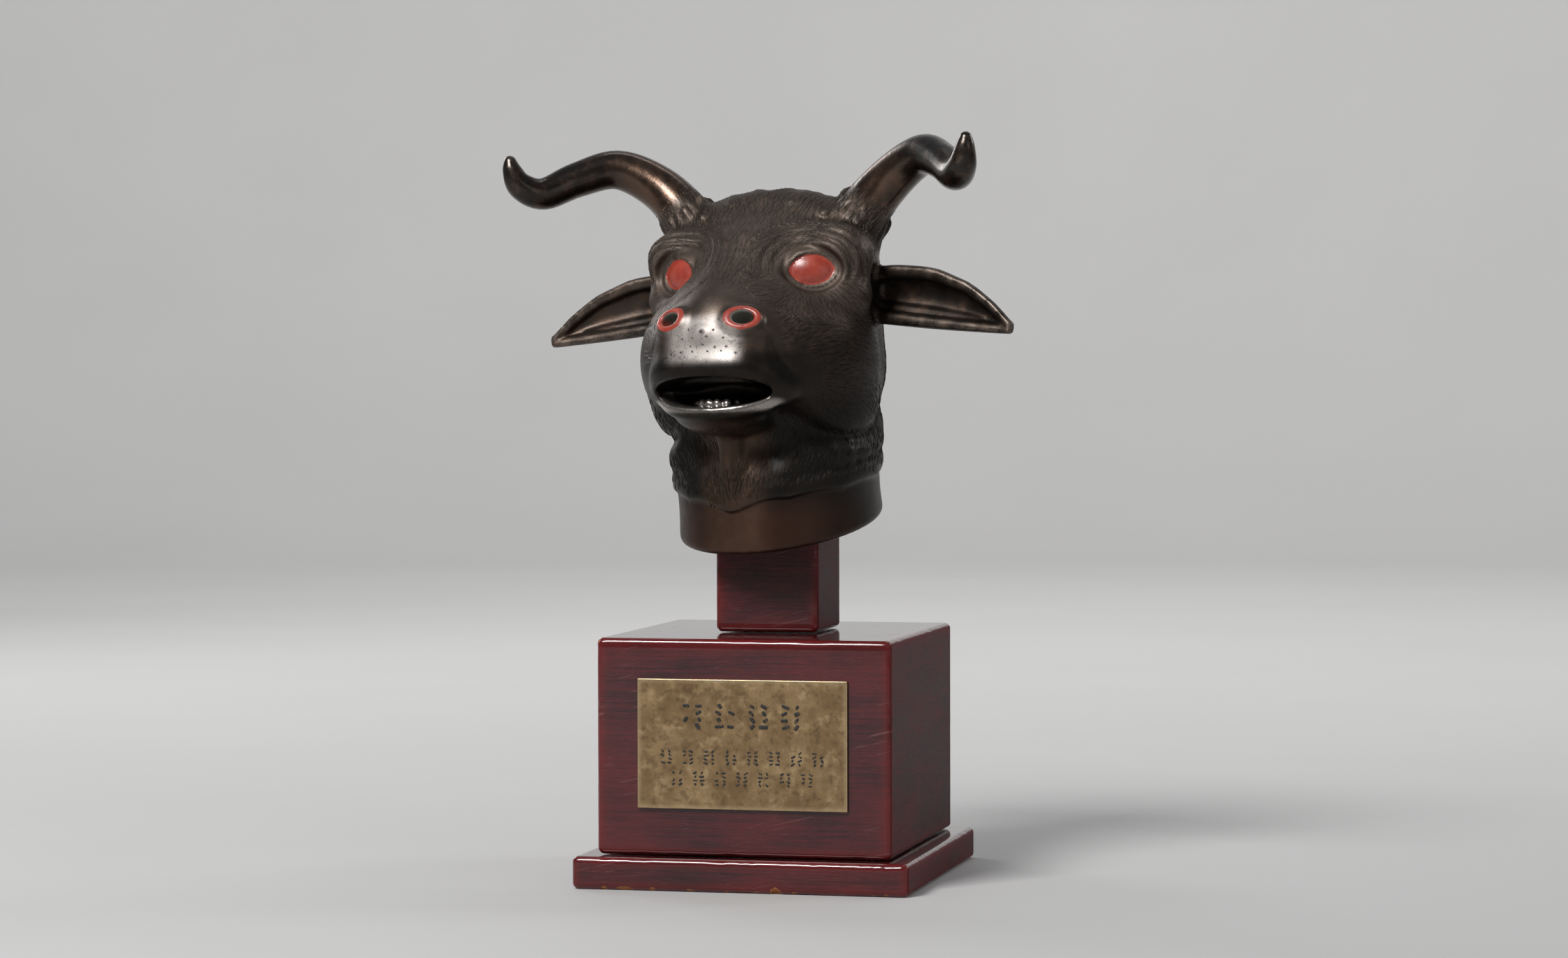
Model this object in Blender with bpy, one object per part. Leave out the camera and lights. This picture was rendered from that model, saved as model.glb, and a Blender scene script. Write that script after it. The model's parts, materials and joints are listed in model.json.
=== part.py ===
"""A bronze ox head on a lacquered wooden stand with a brass name plate, about 29 cm tall.

Metres, +Z up. The stand's front faces -Y, and the origin is the middle of the stand's underside.
The stand is made of squared boards with eased edges. The head is shaped like clay: rounded masses
are joined and carved as distance fields in millimetres, in the head's own frame, and the surface
where the field is zero becomes the mesh. In that frame the muzzle points to -Y, +Z is up, and the
origin is the middle of the neck's lower rim. The two sides mirror each other across X = 0.
"""

import math

import bmesh
import bpy
import numpy as np
from mathutils import Matrix, Vector

MM = 0.001

# Driving dimensions of the stand, in millimetres
SLAB_SIZE = (131.2, 134.8, 12.5)
BLOCK_SIZE = (115.0, 120.0, 83.3)
POST_SIDE = 40.8
PLATE_SIZE = (82.0, 1.2, 49.5)
PLATE_MIDDLE_Z = 55.8
EDGE_EASE = 1.5
PLATE_EASE = 0.3
JOINT_GAP = 0.3

# Driving dimensions of the head, in millimetres and degrees
NECK_RIM = (1.5, 0.0, 138.0)
HEAD_TURN = -12.8
HEAD_LEAN = -1.3
RIM_SLOPE = 14.0
RIM_DROP = 0.8
RIM_ROUND = 3.0
SOCKET_CEILING_Z = 146.0
SOCKET_CUT_HEIGHT = 60.0
HEAD_LOW, HEAD_HIGH = (-108, -76, -16), (108, 52, 156)
HEAD_STEP = 1.15
HEAD_TRIANGLES = 9000

# Past this many millimetres the box round a bar stands in for the bar
FAR = 8.0


def unit(vector):
    vector = np.asarray(vector, float)
    return vector / np.linalg.norm(vector)


def merged(first, second, soft):
    """The union of two fields, with a fillet about as wide as soft."""
    share = np.clip(0.5 + 0.5 * (second - first) / soft, 0.0, 1.0)
    return second + (first - second) * share - soft * share * (1.0 - share)


def carved(body, tool, soft):
    """The body with the tool cut away, and the edge rounded about as wide as soft."""
    return -merged(-body, tool, soft)


def lump(p, middle, radii, turn=None):
    """An ellipsoid. The columns of turn are its own axes."""
    q = p - np.asarray(middle, float)
    if turn is not None:
        q = q @ turn
    radii = np.asarray(radii, float)
    scaled = np.sqrt(((q / radii) ** 2).sum(1)) + 1e-6
    slope = np.sqrt(((q / radii**2) ** 2).sum(1)) + 1e-6
    return scaled * (scaled - 1.0) / slope


def curve_through(points, pieces):
    """Points along a smooth curve through the given points, also for columns that hold radii."""
    points = np.asarray(points, float)
    ends = np.vstack([2 * points[0] - points[1], points, 2 * points[-1] - points[-2]])
    stretch = np.linspace(0, len(points) - 1, pieces + 1)
    first = np.minimum(stretch.astype(int), len(points) - 2)
    t = (stretch - first)[:, None]
    a, b, c, d = (ends[first + i] for i in range(4))
    return 0.5 * (2 * b + (c - a) * t + (2 * a - 5 * b + 4 * c - d) * t**2 + (3 * b - a - 3 * c + d) * t**3)


def roll(p, stations, pieces=12):
    """A round bar of changing thickness. Each station is x, y, z and radius.

    Away from the bar the distance to the box round it stands in, which is faster.
    """
    line = curve_through(stations, pieces)
    reach = line[:, 3].max()
    low, high = line[:, :3].min(0) - reach, line[:, :3].max(0) + reach
    distance = np.linalg.norm(np.maximum(np.maximum(low - p, p - high), 0), axis=1)
    close = distance < FAR
    near_points = p[close]
    nearest = np.full(len(near_points), 1e3)
    for start, end in zip(line[:-1], line[1:]):
        along = end[:3] - start[:3]
        share = np.clip((near_points - start[:3]) @ along / (along @ along), 0.0, 1.0)
        gap = np.linalg.norm(near_points - start[:3] - share[:, None] * along, axis=1)
        nearest = np.minimum(nearest, gap - start[3] - share * (end[3] - start[3]))
    distance[close] = nearest
    return distance


def creased(p, body, path, width, depth):
    """The body with a soft crease along a path on its surface."""
    stations = [(*point, 0.0) for point in path]
    return body + depth * np.exp(-((roll(p, stations, 10) / width) ** 2))


def eased(x, stations, values):
    """The value at x on a smooth curve through the stations' values."""
    fine = np.linspace(stations[0], stations[-1], 241)
    level = np.interp(fine, stations, values)
    window = np.hanning(31)
    padded = np.pad(level, 15, mode="edge")
    return np.interp(x, fine, np.convolve(padded, window / window.sum(), "valid"))


def step_up(x, width):
    """0 below -width/2, 1 above width/2, and a smooth rise between."""
    t = np.clip(x / width + 0.5, 0.0, 1.0)
    return t * t * (3 - 2 * t)


def facing(outward, upright=(0, 0, 1)):
    """The axes of a small frame on the surface: across, up and outward, as columns."""
    out = unit(outward)
    across = unit(np.cross(upright, out))
    return np.column_stack([across, np.cross(out, across), out])


# Places on the head, in its own frame: the left half is the right half's mirror
EYE = (28.8, -28.0, 98.0)
EYE_OUT = (0.47, -0.87, 0.12)
EYE_HALF = (9.3, 6.3)
NOSTRIL = (14.8, -60.6, 78.8)
NOSTRIL_OUT = (0.30, -0.78, 0.55)
NOSTRIL_HALF = (5.6, 4.1)
MOUTH = (0.0, -61.0, 51.8)
MOUTH_HALF = (25.0, 22.0, 6.0)
FUR_SLOPE = 10.0
FUR_EDGE = 17.0
FUR_PROUD = 1.7
NECK_LOCKS = 26
NAPE_HEIGHT = 100.0
EAR_ROOT = np.array((35.0, 6.0, 88.5))
EAR_TIP = np.array((100.5, -0.5, 82.5))
EAR_HALF = 10.4
EAR_LIFT = 1.8


def tilted(p, degrees):
    """Height and depth in a frame that slopes down to the front."""
    slope = math.radians(degrees)
    height = p[:, 2] * math.cos(slope) - p[:, 1] * math.sin(slope)
    depth = p[:, 1] * math.cos(slope) + p[:, 2] * math.sin(slope)
    return height, depth


def rim_height(p):
    """Height above the plane of the neck's lower rim, which slopes down to the front."""
    return tilted(p, RIM_SLOPE)[0] + RIM_DROP


def fur_edge(angle):
    """Height of the fur's scalloped lower edge, and how far into a scallop the angle is."""
    scallop = np.abs(np.sin(5.5 * angle))
    return FUR_EDGE + 0.9 * scallop - 4.0 * np.exp(-((angle / 0.28) ** 2)), scallop


def neck(p):
    """The neck's fur, which ends in a scalloped edge, and the smooth collar below it."""
    height, depth = tilted(p, FUR_SLOPE)
    stations = (-20, 0, 8, 17, 30, 48, 75, 100)
    half_width = eased(height, stations, (39.8, 39.4, 38.8, 39.0, 40.2, 39.5, 35, 27))
    front = eased(height, stations, (45, 44, 42.5, 41, 38.5, 36, 24, 10))
    back = eased(height, stations, (44, 43.5, 43.2, 44, 47, 50, 50, 44))
    half_depth = np.where(depth < 0, front, back)

    angle = np.arctan2(p[:, 0] / half_width, -depth / half_depth)
    edge, scallop = fur_edge(angle)
    above = height - edge
    wave = 0.14 * np.cos(NECK_LOCKS * angle + 0.9 * np.sin(height / 6.0)) * step_up(above - 5, 8)
    crease = 0.8 * np.exp(-(((above - 7.5) / 2.0) ** 2)) * step_up(np.abs(angle) - 0.5, 0.5)
    fur = step_up(above, 2.4) * (FUR_PROUD - 0.35 * scallop * np.exp(-above / 14) + wave - crease)
    around = np.hypot(p[:, 0] / half_width, depth / half_depth) - 1.0
    side = around * np.minimum(half_width, half_depth) - fur
    return carved(side, NAPE_HEIGHT - height, 14.0)


def head_mass(p):
    """Skull, face and jaw as one body, wide at the brow and blunt at the muzzle."""
    forward = -p[:, 1]
    stations = (-30, -15, -4, 8, 20, 30, 40, 50, 60)
    half_width = eased(forward, stations, (38, 39.5, 40.5, 40.5, 38, 33, 29.5, 27.5, 27))
    top = eased(forward, stations, (121, 126, 129, 127, 119, 108, 98, 91, 86.5))
    bottom = eased(forward, stations, (48, 42, 38, 36, 35, 35, 36, 38, 41))
    half_height = (top - bottom) / 2
    across = np.abs(p[:, 0]) / half_width
    upward = np.abs(p[:, 2] - bottom - half_height) / half_height
    power = 2.5
    ahead = np.clip(forward - 50.0, 0, None) / 17.0
    behind = np.clip(-6.0 - forward, 0, None) / 35.0
    whole = (across**power + upward**power + ahead**2.2 + behind**2.0) ** (1 / power)
    return (whole - 1) * np.minimum(half_width, half_height) * 0.9


def brow(p, body):
    """The bony rim round each eye and the bridge of the nose."""
    rim = lump(p, (33.5, -14, 104), (14, 14, 12))
    below = lump(p, (34, -15.5, 88), (13, 13, 10))
    bridge = roll(p, ((0, -22, 101, 15), (0, -38, 87, 12.5), (0, -50, 80, 11)), 6)
    return merged(merged(body, merged(rim, below, 8.0), 6.0), bridge, 7.0)


def eye(p, body):
    """A shallow socket with folds round it, the lids and the ball."""
    q = (p - np.asarray(EYE)) @ facing(EYE_OUT)
    away = np.hypot(q[:, 0] / 1.22, q[:, 1])
    near = np.exp(-((q[:, 2] / 9.0) ** 2))
    over = step_up(q[:, 1] + 0.25 * q[:, 0], 9.0)
    band = step_up(away - 8.6, 1.5) * step_up(18.5 - away, 5.0)
    folds = (0.04 + 0.5 * over) * band * np.cos(2 * math.pi * (away - 10.4) / 3.8)
    body = body - near * folds
    body = carved(body, lump(q, (0, 0, 2.0), (11.5, 8.5, 4.0)), 3.0)
    ball = lump(q, (0, 0, -6.0), (11.5, 9.2, 7.6))
    almond = (np.abs(q[:, 1]) / EYE_HALF[1]) ** 1.6 + (q[:, 0] / EYE_HALF[0]) ** 2 - 1.0
    lids = carved(ball - 1.5, almond * 4.0, 0.7)
    return merged(merged(body, lids, 1.4), ball, 0.5)


def nostril(p, body):
    """A raised oval ring with a hole that runs inward, and the low boss between the two."""
    q = (p - np.asarray(NOSTRIL)) @ facing(NOSTRIL_OUT)
    oval = np.hypot(q[:, 0] / NOSTRIL_HALF[0], q[:, 1] / NOSTRIL_HALF[1])
    ring = np.hypot((oval - 1) * 4.6, q[:, 2] - 0.4) - 1.7
    hole = lump(q, (0.4, 0, 0), (4.2, 2.8, 8.0))
    boss = lump(p, (0, -64.2, 73.0), (5, 2.6, 4))
    return carved(merged(merged(body, boss, 2.0), ring, 2.6), hole, 0.9)


def mouth(p, body):
    """The open mouth with its lips, the pad behind the upper lip and the row of lower teeth."""
    stations = ((-2, -64.6, 61.4, 3.6), (12, -63.2, 61.2, 3.6), (21, -57.6, 58.6, 3.6), (26, -49, 52.5, 3.4))
    upper = roll(p, stations)
    stations = ((-2, -61.8, 44.6, 2.8), (11, -60, 44.8, 2.8), (20, -54.5, 46.8, 2.6), (26.5, -47.5, 51, 2.2))
    lower = roll(p, stations)
    chin = lump(p, (0, -49, 43), (18, 12.5, 7.5))
    body = merged(merged(merged(body, chin, 5.0), upper, 6.0), lower, 3.0)
    body = carved(body, lump(p, MOUTH, MOUTH_HALF), 1.3)
    pad = roll(p, ((-2, -55.5, 57.6, 3.0), (11, -53.5, 57.3, 3.0), (18, -46, 55, 2.5)), 8)
    body = merged(body, pad, 1.0)
    for place in range(3):
        across = 1.7 + 3.4 * place
        tooth = lump(p, (across, -57.6 + 0.06 * across**2, 46.9), (2.0, 1.6, 2.3))
        body = merged(body, tooth, 0.3)
    return body


def cheeks(p, body):
    """The full cheek, and its heavy lower edge, which hangs a little over the neck."""
    side = lump(p, (29.7, -23.5, 64), (30, 24, 16), facing((0.97, -0.25, 0)))
    jowl = lump(p, (26.5, -12, 46.5), (18.5, 25, 17.0))
    corner = lump(p, (10, 10, 60), (28.5, 30, 27))
    body = merged(merged(body, side, 6.0), merged(jowl, corner, 10.0), 6.0)
    fold = ((23.5, -54, 69), (25.6, -50, 63), (27.3, -46, 57), (27.0, -43, 50))
    return creased(p, body, fold, 3.4, 1.3)


def jaw_edge(p, body):
    """The crease where the cheek's lower edge overhangs the neck."""
    path = ((22, -46, 42.5), (29, -35, 36), (36.4, -20, 33), (40.6, -5, 34.5), (40.5, 5, 38.5), (36, 20, 47))
    return creased(p, body, path, 3.6, 2.4)


def horn(p):
    """An S-shaped horn: out and up, forward and down, and up again at the tip."""
    stations = (
        (31, 2, 108, 12.0),
        (38, 0.5, 120.5, 10.2),
        (51, 0, 133.5, 8.9),
        (66.5, -5.5, 141.3, 7.8),
        (79.5, -16, 137.5, 7.0),
        (89, -26.3, 132, 6.3),
        (95, -33.5, 134.8, 5.4),
        (97.4, -36.2, 140.6, 3.9),
        (98.1, -36.8, 144.6, 2.5),
    )
    return roll(p, stations, 56)


def ear(p):
    """A leaf-shaped ear, hollow to the front, with thick rolled edges."""
    length = np.linalg.norm(EAR_TIP - EAR_ROOT)
    along = unit(EAR_TIP - EAR_ROOT)
    front = unit(np.cross(along, (0, 0.12, 1)))
    frame = np.column_stack([along, np.cross(front, along), front])
    q = (p - EAR_ROOT) @ frame
    spread = ((-0.2, 0, 0.2, 0.45, 0.7, 0.88, 1.0), (0.9, 0.92, 1.03, 1.03, 0.8, 0.46, 0.12))
    lift = EAR_LIFT * (1 - np.clip(q[:, 0] / length, 0, 1)) ** 2
    half = EAR_HALF * eased(q[:, 0] / length, *spread) - lift / 2
    side = (q[:, 1] - lift - half + EAR_HALF) / half
    bowl = 6.5 * (1 - np.clip(side, -1, 1) ** 2) * half / EAR_HALF
    sheet = np.abs(q[:, 2] + bowl) - 1.5
    blade = np.maximum(sheet, (np.abs(side) - 1.0) * half)
    blade = np.maximum(blade, np.maximum(q[:, 0] - length, -q[:, 0] - 4)) * 0.8
    share = np.linspace(-0.03, 0.99, 11)
    lift = EAR_LIFT * (1 - share) ** 2
    half = EAR_HALF * eased(share, *spread)
    thick = eased(share, (0, 0.5, 1.0), (2.9, 2.4, 1.5))
    top = np.column_stack([share * length, 2 * half - EAR_HALF - 1.0, 0 * share, thick])
    bottom = np.column_stack([share * length, 1.0 - EAR_HALF + lift, 0 * share, thick])
    edges = merged(roll(q, top, 16), roll(q, bottom, 12), 1.0)
    return merged(blade, edges, 2.0)


def locks(p, body):
    """Tufts of hair on the crown and round the roots of the horns."""
    crown = roll(p, ((-2, -2, 119, 11), (14, -2, 118.5, 10.5), (29, 0, 115, 10)), 6)
    body = merged(body, crown, 5.0)
    for i in range(5):
        x = 3.2 + 6.2 * i
        turn = facing((0.12 * i, -0.35, 0.9), (0.6, 0.4, 1))
        middle = (x, -5 + 3.5 * (i % 2), 128.3 - 0.008 * x**2)
        body = merged(body, lump(p, middle, (2.8, 8.0, 1.8), turn), 1.6)
    for i in range(16):
        angle = 2 * math.pi * i / 16
        ring = np.array((0.83 * math.cos(angle), math.sin(angle), -0.55 * math.cos(angle)))
        middle = np.array((36.0, 1.0, 117.4)) + (10.2 + 0.4 * (i % 2)) * ring
        middle += (3.0 * (i % 2) + 1.2 * math.sin(5.1 * i)) * np.array((0.55, 0, 0.83))
        radii = (1.7, 5.2 + 1.2 * math.cos(3.7 * i), 1.4)
        turn = facing(ring, (0.55, 0.25 * math.sin(2.3 * i), 0.83))
        body = merged(body, lump(p, middle, radii, turn), 1.2)
    return body


def dewlap(p, body):
    """The fold of skin from the chin down the front of the neck."""
    hollow = lump(p, (19, -46, 30), (13, 8, 8.5))
    fold = roll(p, ((0, -46, 39, 6), (0, -44, 31, 4.5), (0, -43, 22, 4.2), (0, -42, 13, 3.2)), 8)
    return merged(carved(body, hollow, 7.0), fold, 3.0)


def head_field(points):
    """The head's distance field in millimetres, in the head's own frame."""
    p = np.column_stack([np.abs(points[:, 0]), points[:, 1], points[:, 2]])
    body = brow(p, head_mass(p))
    body = cheeks(p, body)
    body = eye(p, body)
    body = nostril(p, body)
    body = mouth(p, body)
    body = merged(body, dewlap(p, neck(p)), 2.5)
    body = jaw_edge(p, body)
    body = merged(body, ear(p), 3.5)
    body = merged(body, horn(p), 5.0)
    body = locks(p, body)
    return carved(body, rim_height(p), RIM_ROUND)


# From field to mesh

CORNERS = np.array([(i & 1, i >> 1 & 1, i >> 2 & 1) for i in range(8)])
EDGES = [(a, b) for a in range(8) for b in range(a + 1, 8) if abs(CORNERS[a] - CORNERS[b]).sum() == 1]
COARSE = 4
BATCHES = 12


def sampled(field, low, shape, step):
    """The field on a grid. Away from the surface it is worked out at every fourth point only."""
    coarse_shape = [n // COARSE + 2 for n in shape]
    coarse = np.stack(np.meshgrid(*map(np.arange, coarse_shape), indexing="ij"), -1)
    values = field(low + coarse.reshape(-1, 3) * (COARSE * step)).reshape(coarse_shape)
    near = np.abs(values) < 1.5 * COARSE * step
    for axis in range(3):
        near = np.roll(np.repeat(near, COARSE, axis), -(COARSE // 2), axis)
        values = np.roll(np.repeat(values, COARSE, axis), -(COARSE // 2), axis)
    inner = tuple(slice(0, n) for n in shape)
    near = near[inner]
    values = values[inner].copy()
    batches = np.array_split(np.argwhere(near), BATCHES)
    values[near] = np.concatenate([field(low + batch * step) for batch in batches])
    return values


def without_pinches(values, skin):
    """The grid filled in where two opposite corners of a square would pinch the surface to an edge."""
    square = ((0, 0), (1, 0), (0, 1), (1, 1))
    for _ in range(4):
        inside = values < 0
        pinched = np.zeros_like(inside)
        for plane in ((0, 1), (1, 2), (0, 2)):
            a, b, c, d = (np.roll(inside, (-i, -j), plane) for i, j in square)
            clash = (a == d) & (b == c) & (a != b)
            for corner in square:
                pinched |= np.roll(clash, corner, plane)
        values = np.where(pinched & ~inside, -skin, values)
    return values


def surface_of(field, low, high, step):
    """Points and four-sided faces on the surface where the field is zero."""
    low = np.asarray(low, float)
    shape = np.ceil((np.asarray(high) - low) / step).astype(int) + 1
    values = without_pinches(sampled(field, low, shape, step), 0.1 * step)
    inside = values < 0
    cells = [inside[tuple(slice(c, c + n - 1) for c, n in zip(corner, shape))] for corner in CORNERS]
    filled = np.sum(cells, axis=0)
    mixed = np.argwhere((filled > 0) & (filled < 8))
    number = np.full(shape - 1, -1)
    number[tuple(mixed.T)] = np.arange(len(mixed))
    at_corner = np.stack([values[tuple((mixed + corner).T)] for corner in CORNERS], 1)
    total = np.zeros((len(mixed), 3))
    count = np.zeros((len(mixed), 1))
    for a, b in EDGES:
        start, end = at_corner[:, a : a + 1], at_corner[:, b : b + 1]
        crossed = (start < 0) != (end < 0)
        share = start / np.where(crossed, start - end, 1.0)
        total += crossed * (CORNERS[a] + share * (CORNERS[b] - CORNERS[a]))
        count += crossed
    points = low + (mixed + total / count) * step
    faces = []
    for axis in range(3):
        u, v = np.eye(3, dtype=int)[[(axis + 1) % 3, (axis + 2) % 3]]
        ahead = np.roll(inside, -1, axis)
        for crossing, order in ((inside & ~ahead, 1), (~inside & ahead, -1)):
            at = np.argwhere(crossing)
            ring = [number[tuple((at - shift).T)] for shift in (0 * u, u, u + v, v)]
            faces.append(np.stack(ring[::order], 1))
    return points, np.concatenate(faces)


def slope_of(field, points, reach=0.05):
    """The direction in which the field grows."""
    steps = np.eye(3) * reach
    slope = np.stack([field(points + s) - field(points - s) for s in steps], 1)
    return slope / (2 * reach)


def settled(field, points, rounds=2):
    """The points moved onto the surface."""
    for _ in range(rounds):
        slope = slope_of(field, points)
        square = np.maximum((slope**2).sum(1), 0.2)
        move = -(field(points) / square)[:, None] * slope
        points = points + np.clip(move, -0.6, 0.6)
    return points


def mesh_object(name, points, faces, material):
    mesh = bpy.data.meshes.new(name)
    mesh.from_pydata(points.tolist(), [], faces.tolist())
    mesh.materials.append(material)
    mesh.shade_smooth()
    made = bpy.data.objects.new(name, mesh)
    bpy.context.scene.collection.objects.link(made)
    return made


def finish_of(name, colour, roughness, metallic):
    material = bpy.data.materials.new(name)
    material.use_nodes = True
    shader = material.node_tree.nodes["Principled BSDF"]
    shader.inputs["Base Color"].default_value = (*colour, 1.0)
    shader.inputs["Roughness"].default_value = roughness
    shader.inputs["Metallic"].default_value = metallic
    return material


def board(name, size, middle, ease, material):
    """A squared board in millimetres with eased edges."""
    shape = bmesh.new()
    bmesh.ops.create_cube(shape, size=1.0, matrix=Matrix.Diagonal((*[s * MM for s in size], 1.0)))
    mesh = bpy.data.meshes.new(name)
    shape.to_mesh(mesh)
    shape.free()
    mesh.materials.append(material)
    made = bpy.data.objects.new(name, mesh)
    made.location = [v * MM for v in middle]
    bpy.context.scene.collection.objects.link(made)
    if ease:
        bevel = made.modifiers.new("eased edges", "BEVEL")
        bevel.width = ease * MM
        bevel.segments = 2
    return made


def build_stand(wood, brass):
    slab_top = SLAB_SIZE[2]
    block_foot = slab_top + JOINT_GAP
    block_top = block_foot + BLOCK_SIZE[2] - JOINT_GAP
    post_foot = block_top + JOINT_GAP
    post_top = SOCKET_CEILING_Z - JOINT_GAP
    board("base_slab", SLAB_SIZE, (0, 0, slab_top / 2), EDGE_EASE, wood)
    block = (*BLOCK_SIZE[:2], block_top - block_foot)
    board("plinth_block", block, (0, 0, (block_foot + block_top) / 2), EDGE_EASE, wood)
    post = (POST_SIDE, POST_SIDE, post_top - post_foot)
    board("post", post, (0, 0, (post_foot + post_top) / 2), EDGE_EASE, wood)
    plate_y = -BLOCK_SIZE[1] / 2 - JOINT_GAP - PLATE_SIZE[1] / 2
    board("brass_plate", PLATE_SIZE, (0, plate_y, PLATE_MIDDLE_Z), PLATE_EASE, brass)


def build_head(bronze):
    points, faces = surface_of(head_field, HEAD_LOW, HEAD_HIGH, HEAD_STEP)
    points = settled(head_field, points)
    head = mesh_object("ox_head", points * MM, faces, bronze)
    turn = Matrix.Rotation(math.radians(HEAD_TURN), 4, "Z")
    lean = Matrix.Rotation(math.radians(HEAD_LEAN), 4, "Y")
    head.matrix_world = Matrix.Translation(Vector(NECK_RIM) * MM) @ turn @ lean
    fewer = head.modifiers.new("fewer faces", "DECIMATE")
    fewer.ratio = HEAD_TRIANGLES / (2 * len(faces))
    side = POST_SIDE + 2 * JOINT_GAP
    middle_z = SOCKET_CEILING_Z - SOCKET_CUT_HEIGHT / 2
    cutter = board("post_socket", (side, side, SOCKET_CUT_HEIGHT), (0, 0, middle_z), 0, bronze)
    cutter.hide_render = True
    cutter.display_type = "WIRE"
    socket = head.modifiers.new("socket for the post", "BOOLEAN")
    socket.object = cutter
    socket.operation = "DIFFERENCE"


def main():
    for old in list(bpy.data.objects):
        bpy.data.objects.remove(old)
    wood = finish_of("lacquered_wood", (0.085, 0.022, 0.018), 0.28, 0.0)
    brass = finish_of("aged_brass", (0.42, 0.31, 0.13), 0.42, 1.0)
    bronze = finish_of("dark_bronze", (0.055, 0.042, 0.034), 0.38, 1.0)
    build_stand(wood, brass)
    build_head(bronze)


if __name__ == "__main__":
    main()
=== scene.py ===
"""The looks of the ox-head figure: bronze skin, combed hair, lacquered boards and the brass plate.

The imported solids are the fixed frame. The head is shaped like clay: rounded masses are joined and
carved as distance fields in millimetres, in the head's own frame, and the surface where the field is
zero becomes the fine skin. In that frame the muzzle points to -Y, +Z is up, and the origin is the
middle of the neck's lower rim. The two sides mirror each other across X = 0.
"""

import json
import math

import bmesh
import bpy
import numpy as np
from bpy.props import FloatProperty, FloatVectorProperty, IntProperty, PointerProperty
from mathutils import Matrix, Vector
from mathutils.bvhtree import BVHTree

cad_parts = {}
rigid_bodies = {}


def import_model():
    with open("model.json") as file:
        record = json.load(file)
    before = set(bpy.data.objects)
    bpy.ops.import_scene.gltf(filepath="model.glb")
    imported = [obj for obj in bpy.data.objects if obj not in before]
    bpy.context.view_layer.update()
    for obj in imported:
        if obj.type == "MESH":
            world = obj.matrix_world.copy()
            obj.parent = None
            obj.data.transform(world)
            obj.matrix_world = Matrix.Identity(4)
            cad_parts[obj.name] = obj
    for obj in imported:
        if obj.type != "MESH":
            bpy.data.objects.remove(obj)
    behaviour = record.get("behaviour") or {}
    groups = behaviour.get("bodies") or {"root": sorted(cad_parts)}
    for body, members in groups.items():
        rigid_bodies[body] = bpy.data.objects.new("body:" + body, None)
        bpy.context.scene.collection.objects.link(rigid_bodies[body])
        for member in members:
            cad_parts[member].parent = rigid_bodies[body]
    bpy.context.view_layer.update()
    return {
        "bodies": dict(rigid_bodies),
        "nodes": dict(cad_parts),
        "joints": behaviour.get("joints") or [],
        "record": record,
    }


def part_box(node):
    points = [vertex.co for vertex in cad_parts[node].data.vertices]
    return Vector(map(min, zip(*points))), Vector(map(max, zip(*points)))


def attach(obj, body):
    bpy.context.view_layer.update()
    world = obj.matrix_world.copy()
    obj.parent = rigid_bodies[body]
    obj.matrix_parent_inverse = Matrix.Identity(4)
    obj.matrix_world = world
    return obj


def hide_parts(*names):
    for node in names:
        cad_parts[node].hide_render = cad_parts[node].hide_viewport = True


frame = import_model()

bl_info = {
    "name": "Ox-head figure",
    "version": (1, 0, 0),
    "blender": (4, 5, 0),
    "location": "3D View > Sidebar > Ox head",
    "description": "Dresses a bronze ox head on a lacquered stand: skin, hair, boards, plate and stage",
    "category": "Object",
}

MM = 0.001
JOINT_GAP = 0.3
POST_SIDE = 40.8

# How the head stands, in millimetres and degrees
NECK_RIM = (1.5, 0.0, 138.0)
HEAD_TURN = -12.8
HEAD_LEAN = -1.3
RIM_SLOPE = 14.0
RIM_DROP = 0.8
RIM_ROUND = 3.0
SOCKET_CEILING_Z = 146.0
HEAD_LOW, HEAD_HIGH = (-108, -76, -16), (108, 52, 156)

# Past this many millimetres the box round a bar stands in for the bar
FAR = 8.0

# How many strokes a patch may hold before they are thinned to their spacing, and how their length varies
HAIR_CROWDING = 1.6
HAIR_SHORTEST, HAIR_LONGEST = 0.65, 1.3

# Each coat of hair: a stroke's width in metres, its sections, and how rubbed it is from 0 to 1, which also
# paints a highlight on its strokes
HAIR_COATS = {
    "brow": (0.00070, 2, 0.62),
    "cheek": (0.00085, 3, 0.38),
    "neck": (0.00085, 3, 0.34),
    "nape": (0.0011, 3, 0.34),
}

# The muzzle's pits: a large one as across, height and size, and rows of small ones as height, count and pitch
LARGE_PIT = (0.4, 74.6, 2.1)
PIT_ROWS = ((76.0, 2, 9.5), (72.6, 4, 5.4), (69.6, 5, 5.4), (66.6, 6, 5.4))
PIT_RADIUS, PIT_RIM = 0.00048, 0.00015

# Chips as place in shares of the half sizes, radius and lift, and how many on the slab's four lower edges
SLAB_CORNER_CHIP = ((0.218, -1, -1), 2.6, (0, 0.3, 0.3))
SLAB_CHIP_COUNTS = (26, 12, 8, 14)
BLOCK_CHIPS = (((-1, -1, 1), 2.4, (0.3, 0.3, 0.3)), ((1, -1, 1), 1.7, (0.1, 0.1, 0.1)))
POST_CHIPS = (((1, -1, -1), 1.4, (0, 0, 0)),)

# The plate's surface, and its rows of marks as height of the middle, tallness, distance apart and count
PLATE_PITCH, PLATE_WEAR = 1.6, 0.05
MARK_ROWS = ((35.5, 9.2, 12.9, 4), (19.8, 5.2, 8.5, 8), (11.7, 5.2, 8.45, 7))
MARK_THICK = 0.145

# The power that turns a mark's ball into a bar with rounded ends: 1 leaves it a ball
BLUNT = 0.5

# The photograph's width in pixels, which the focal length is given for
FRAME_WIDTH = 2464

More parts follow.
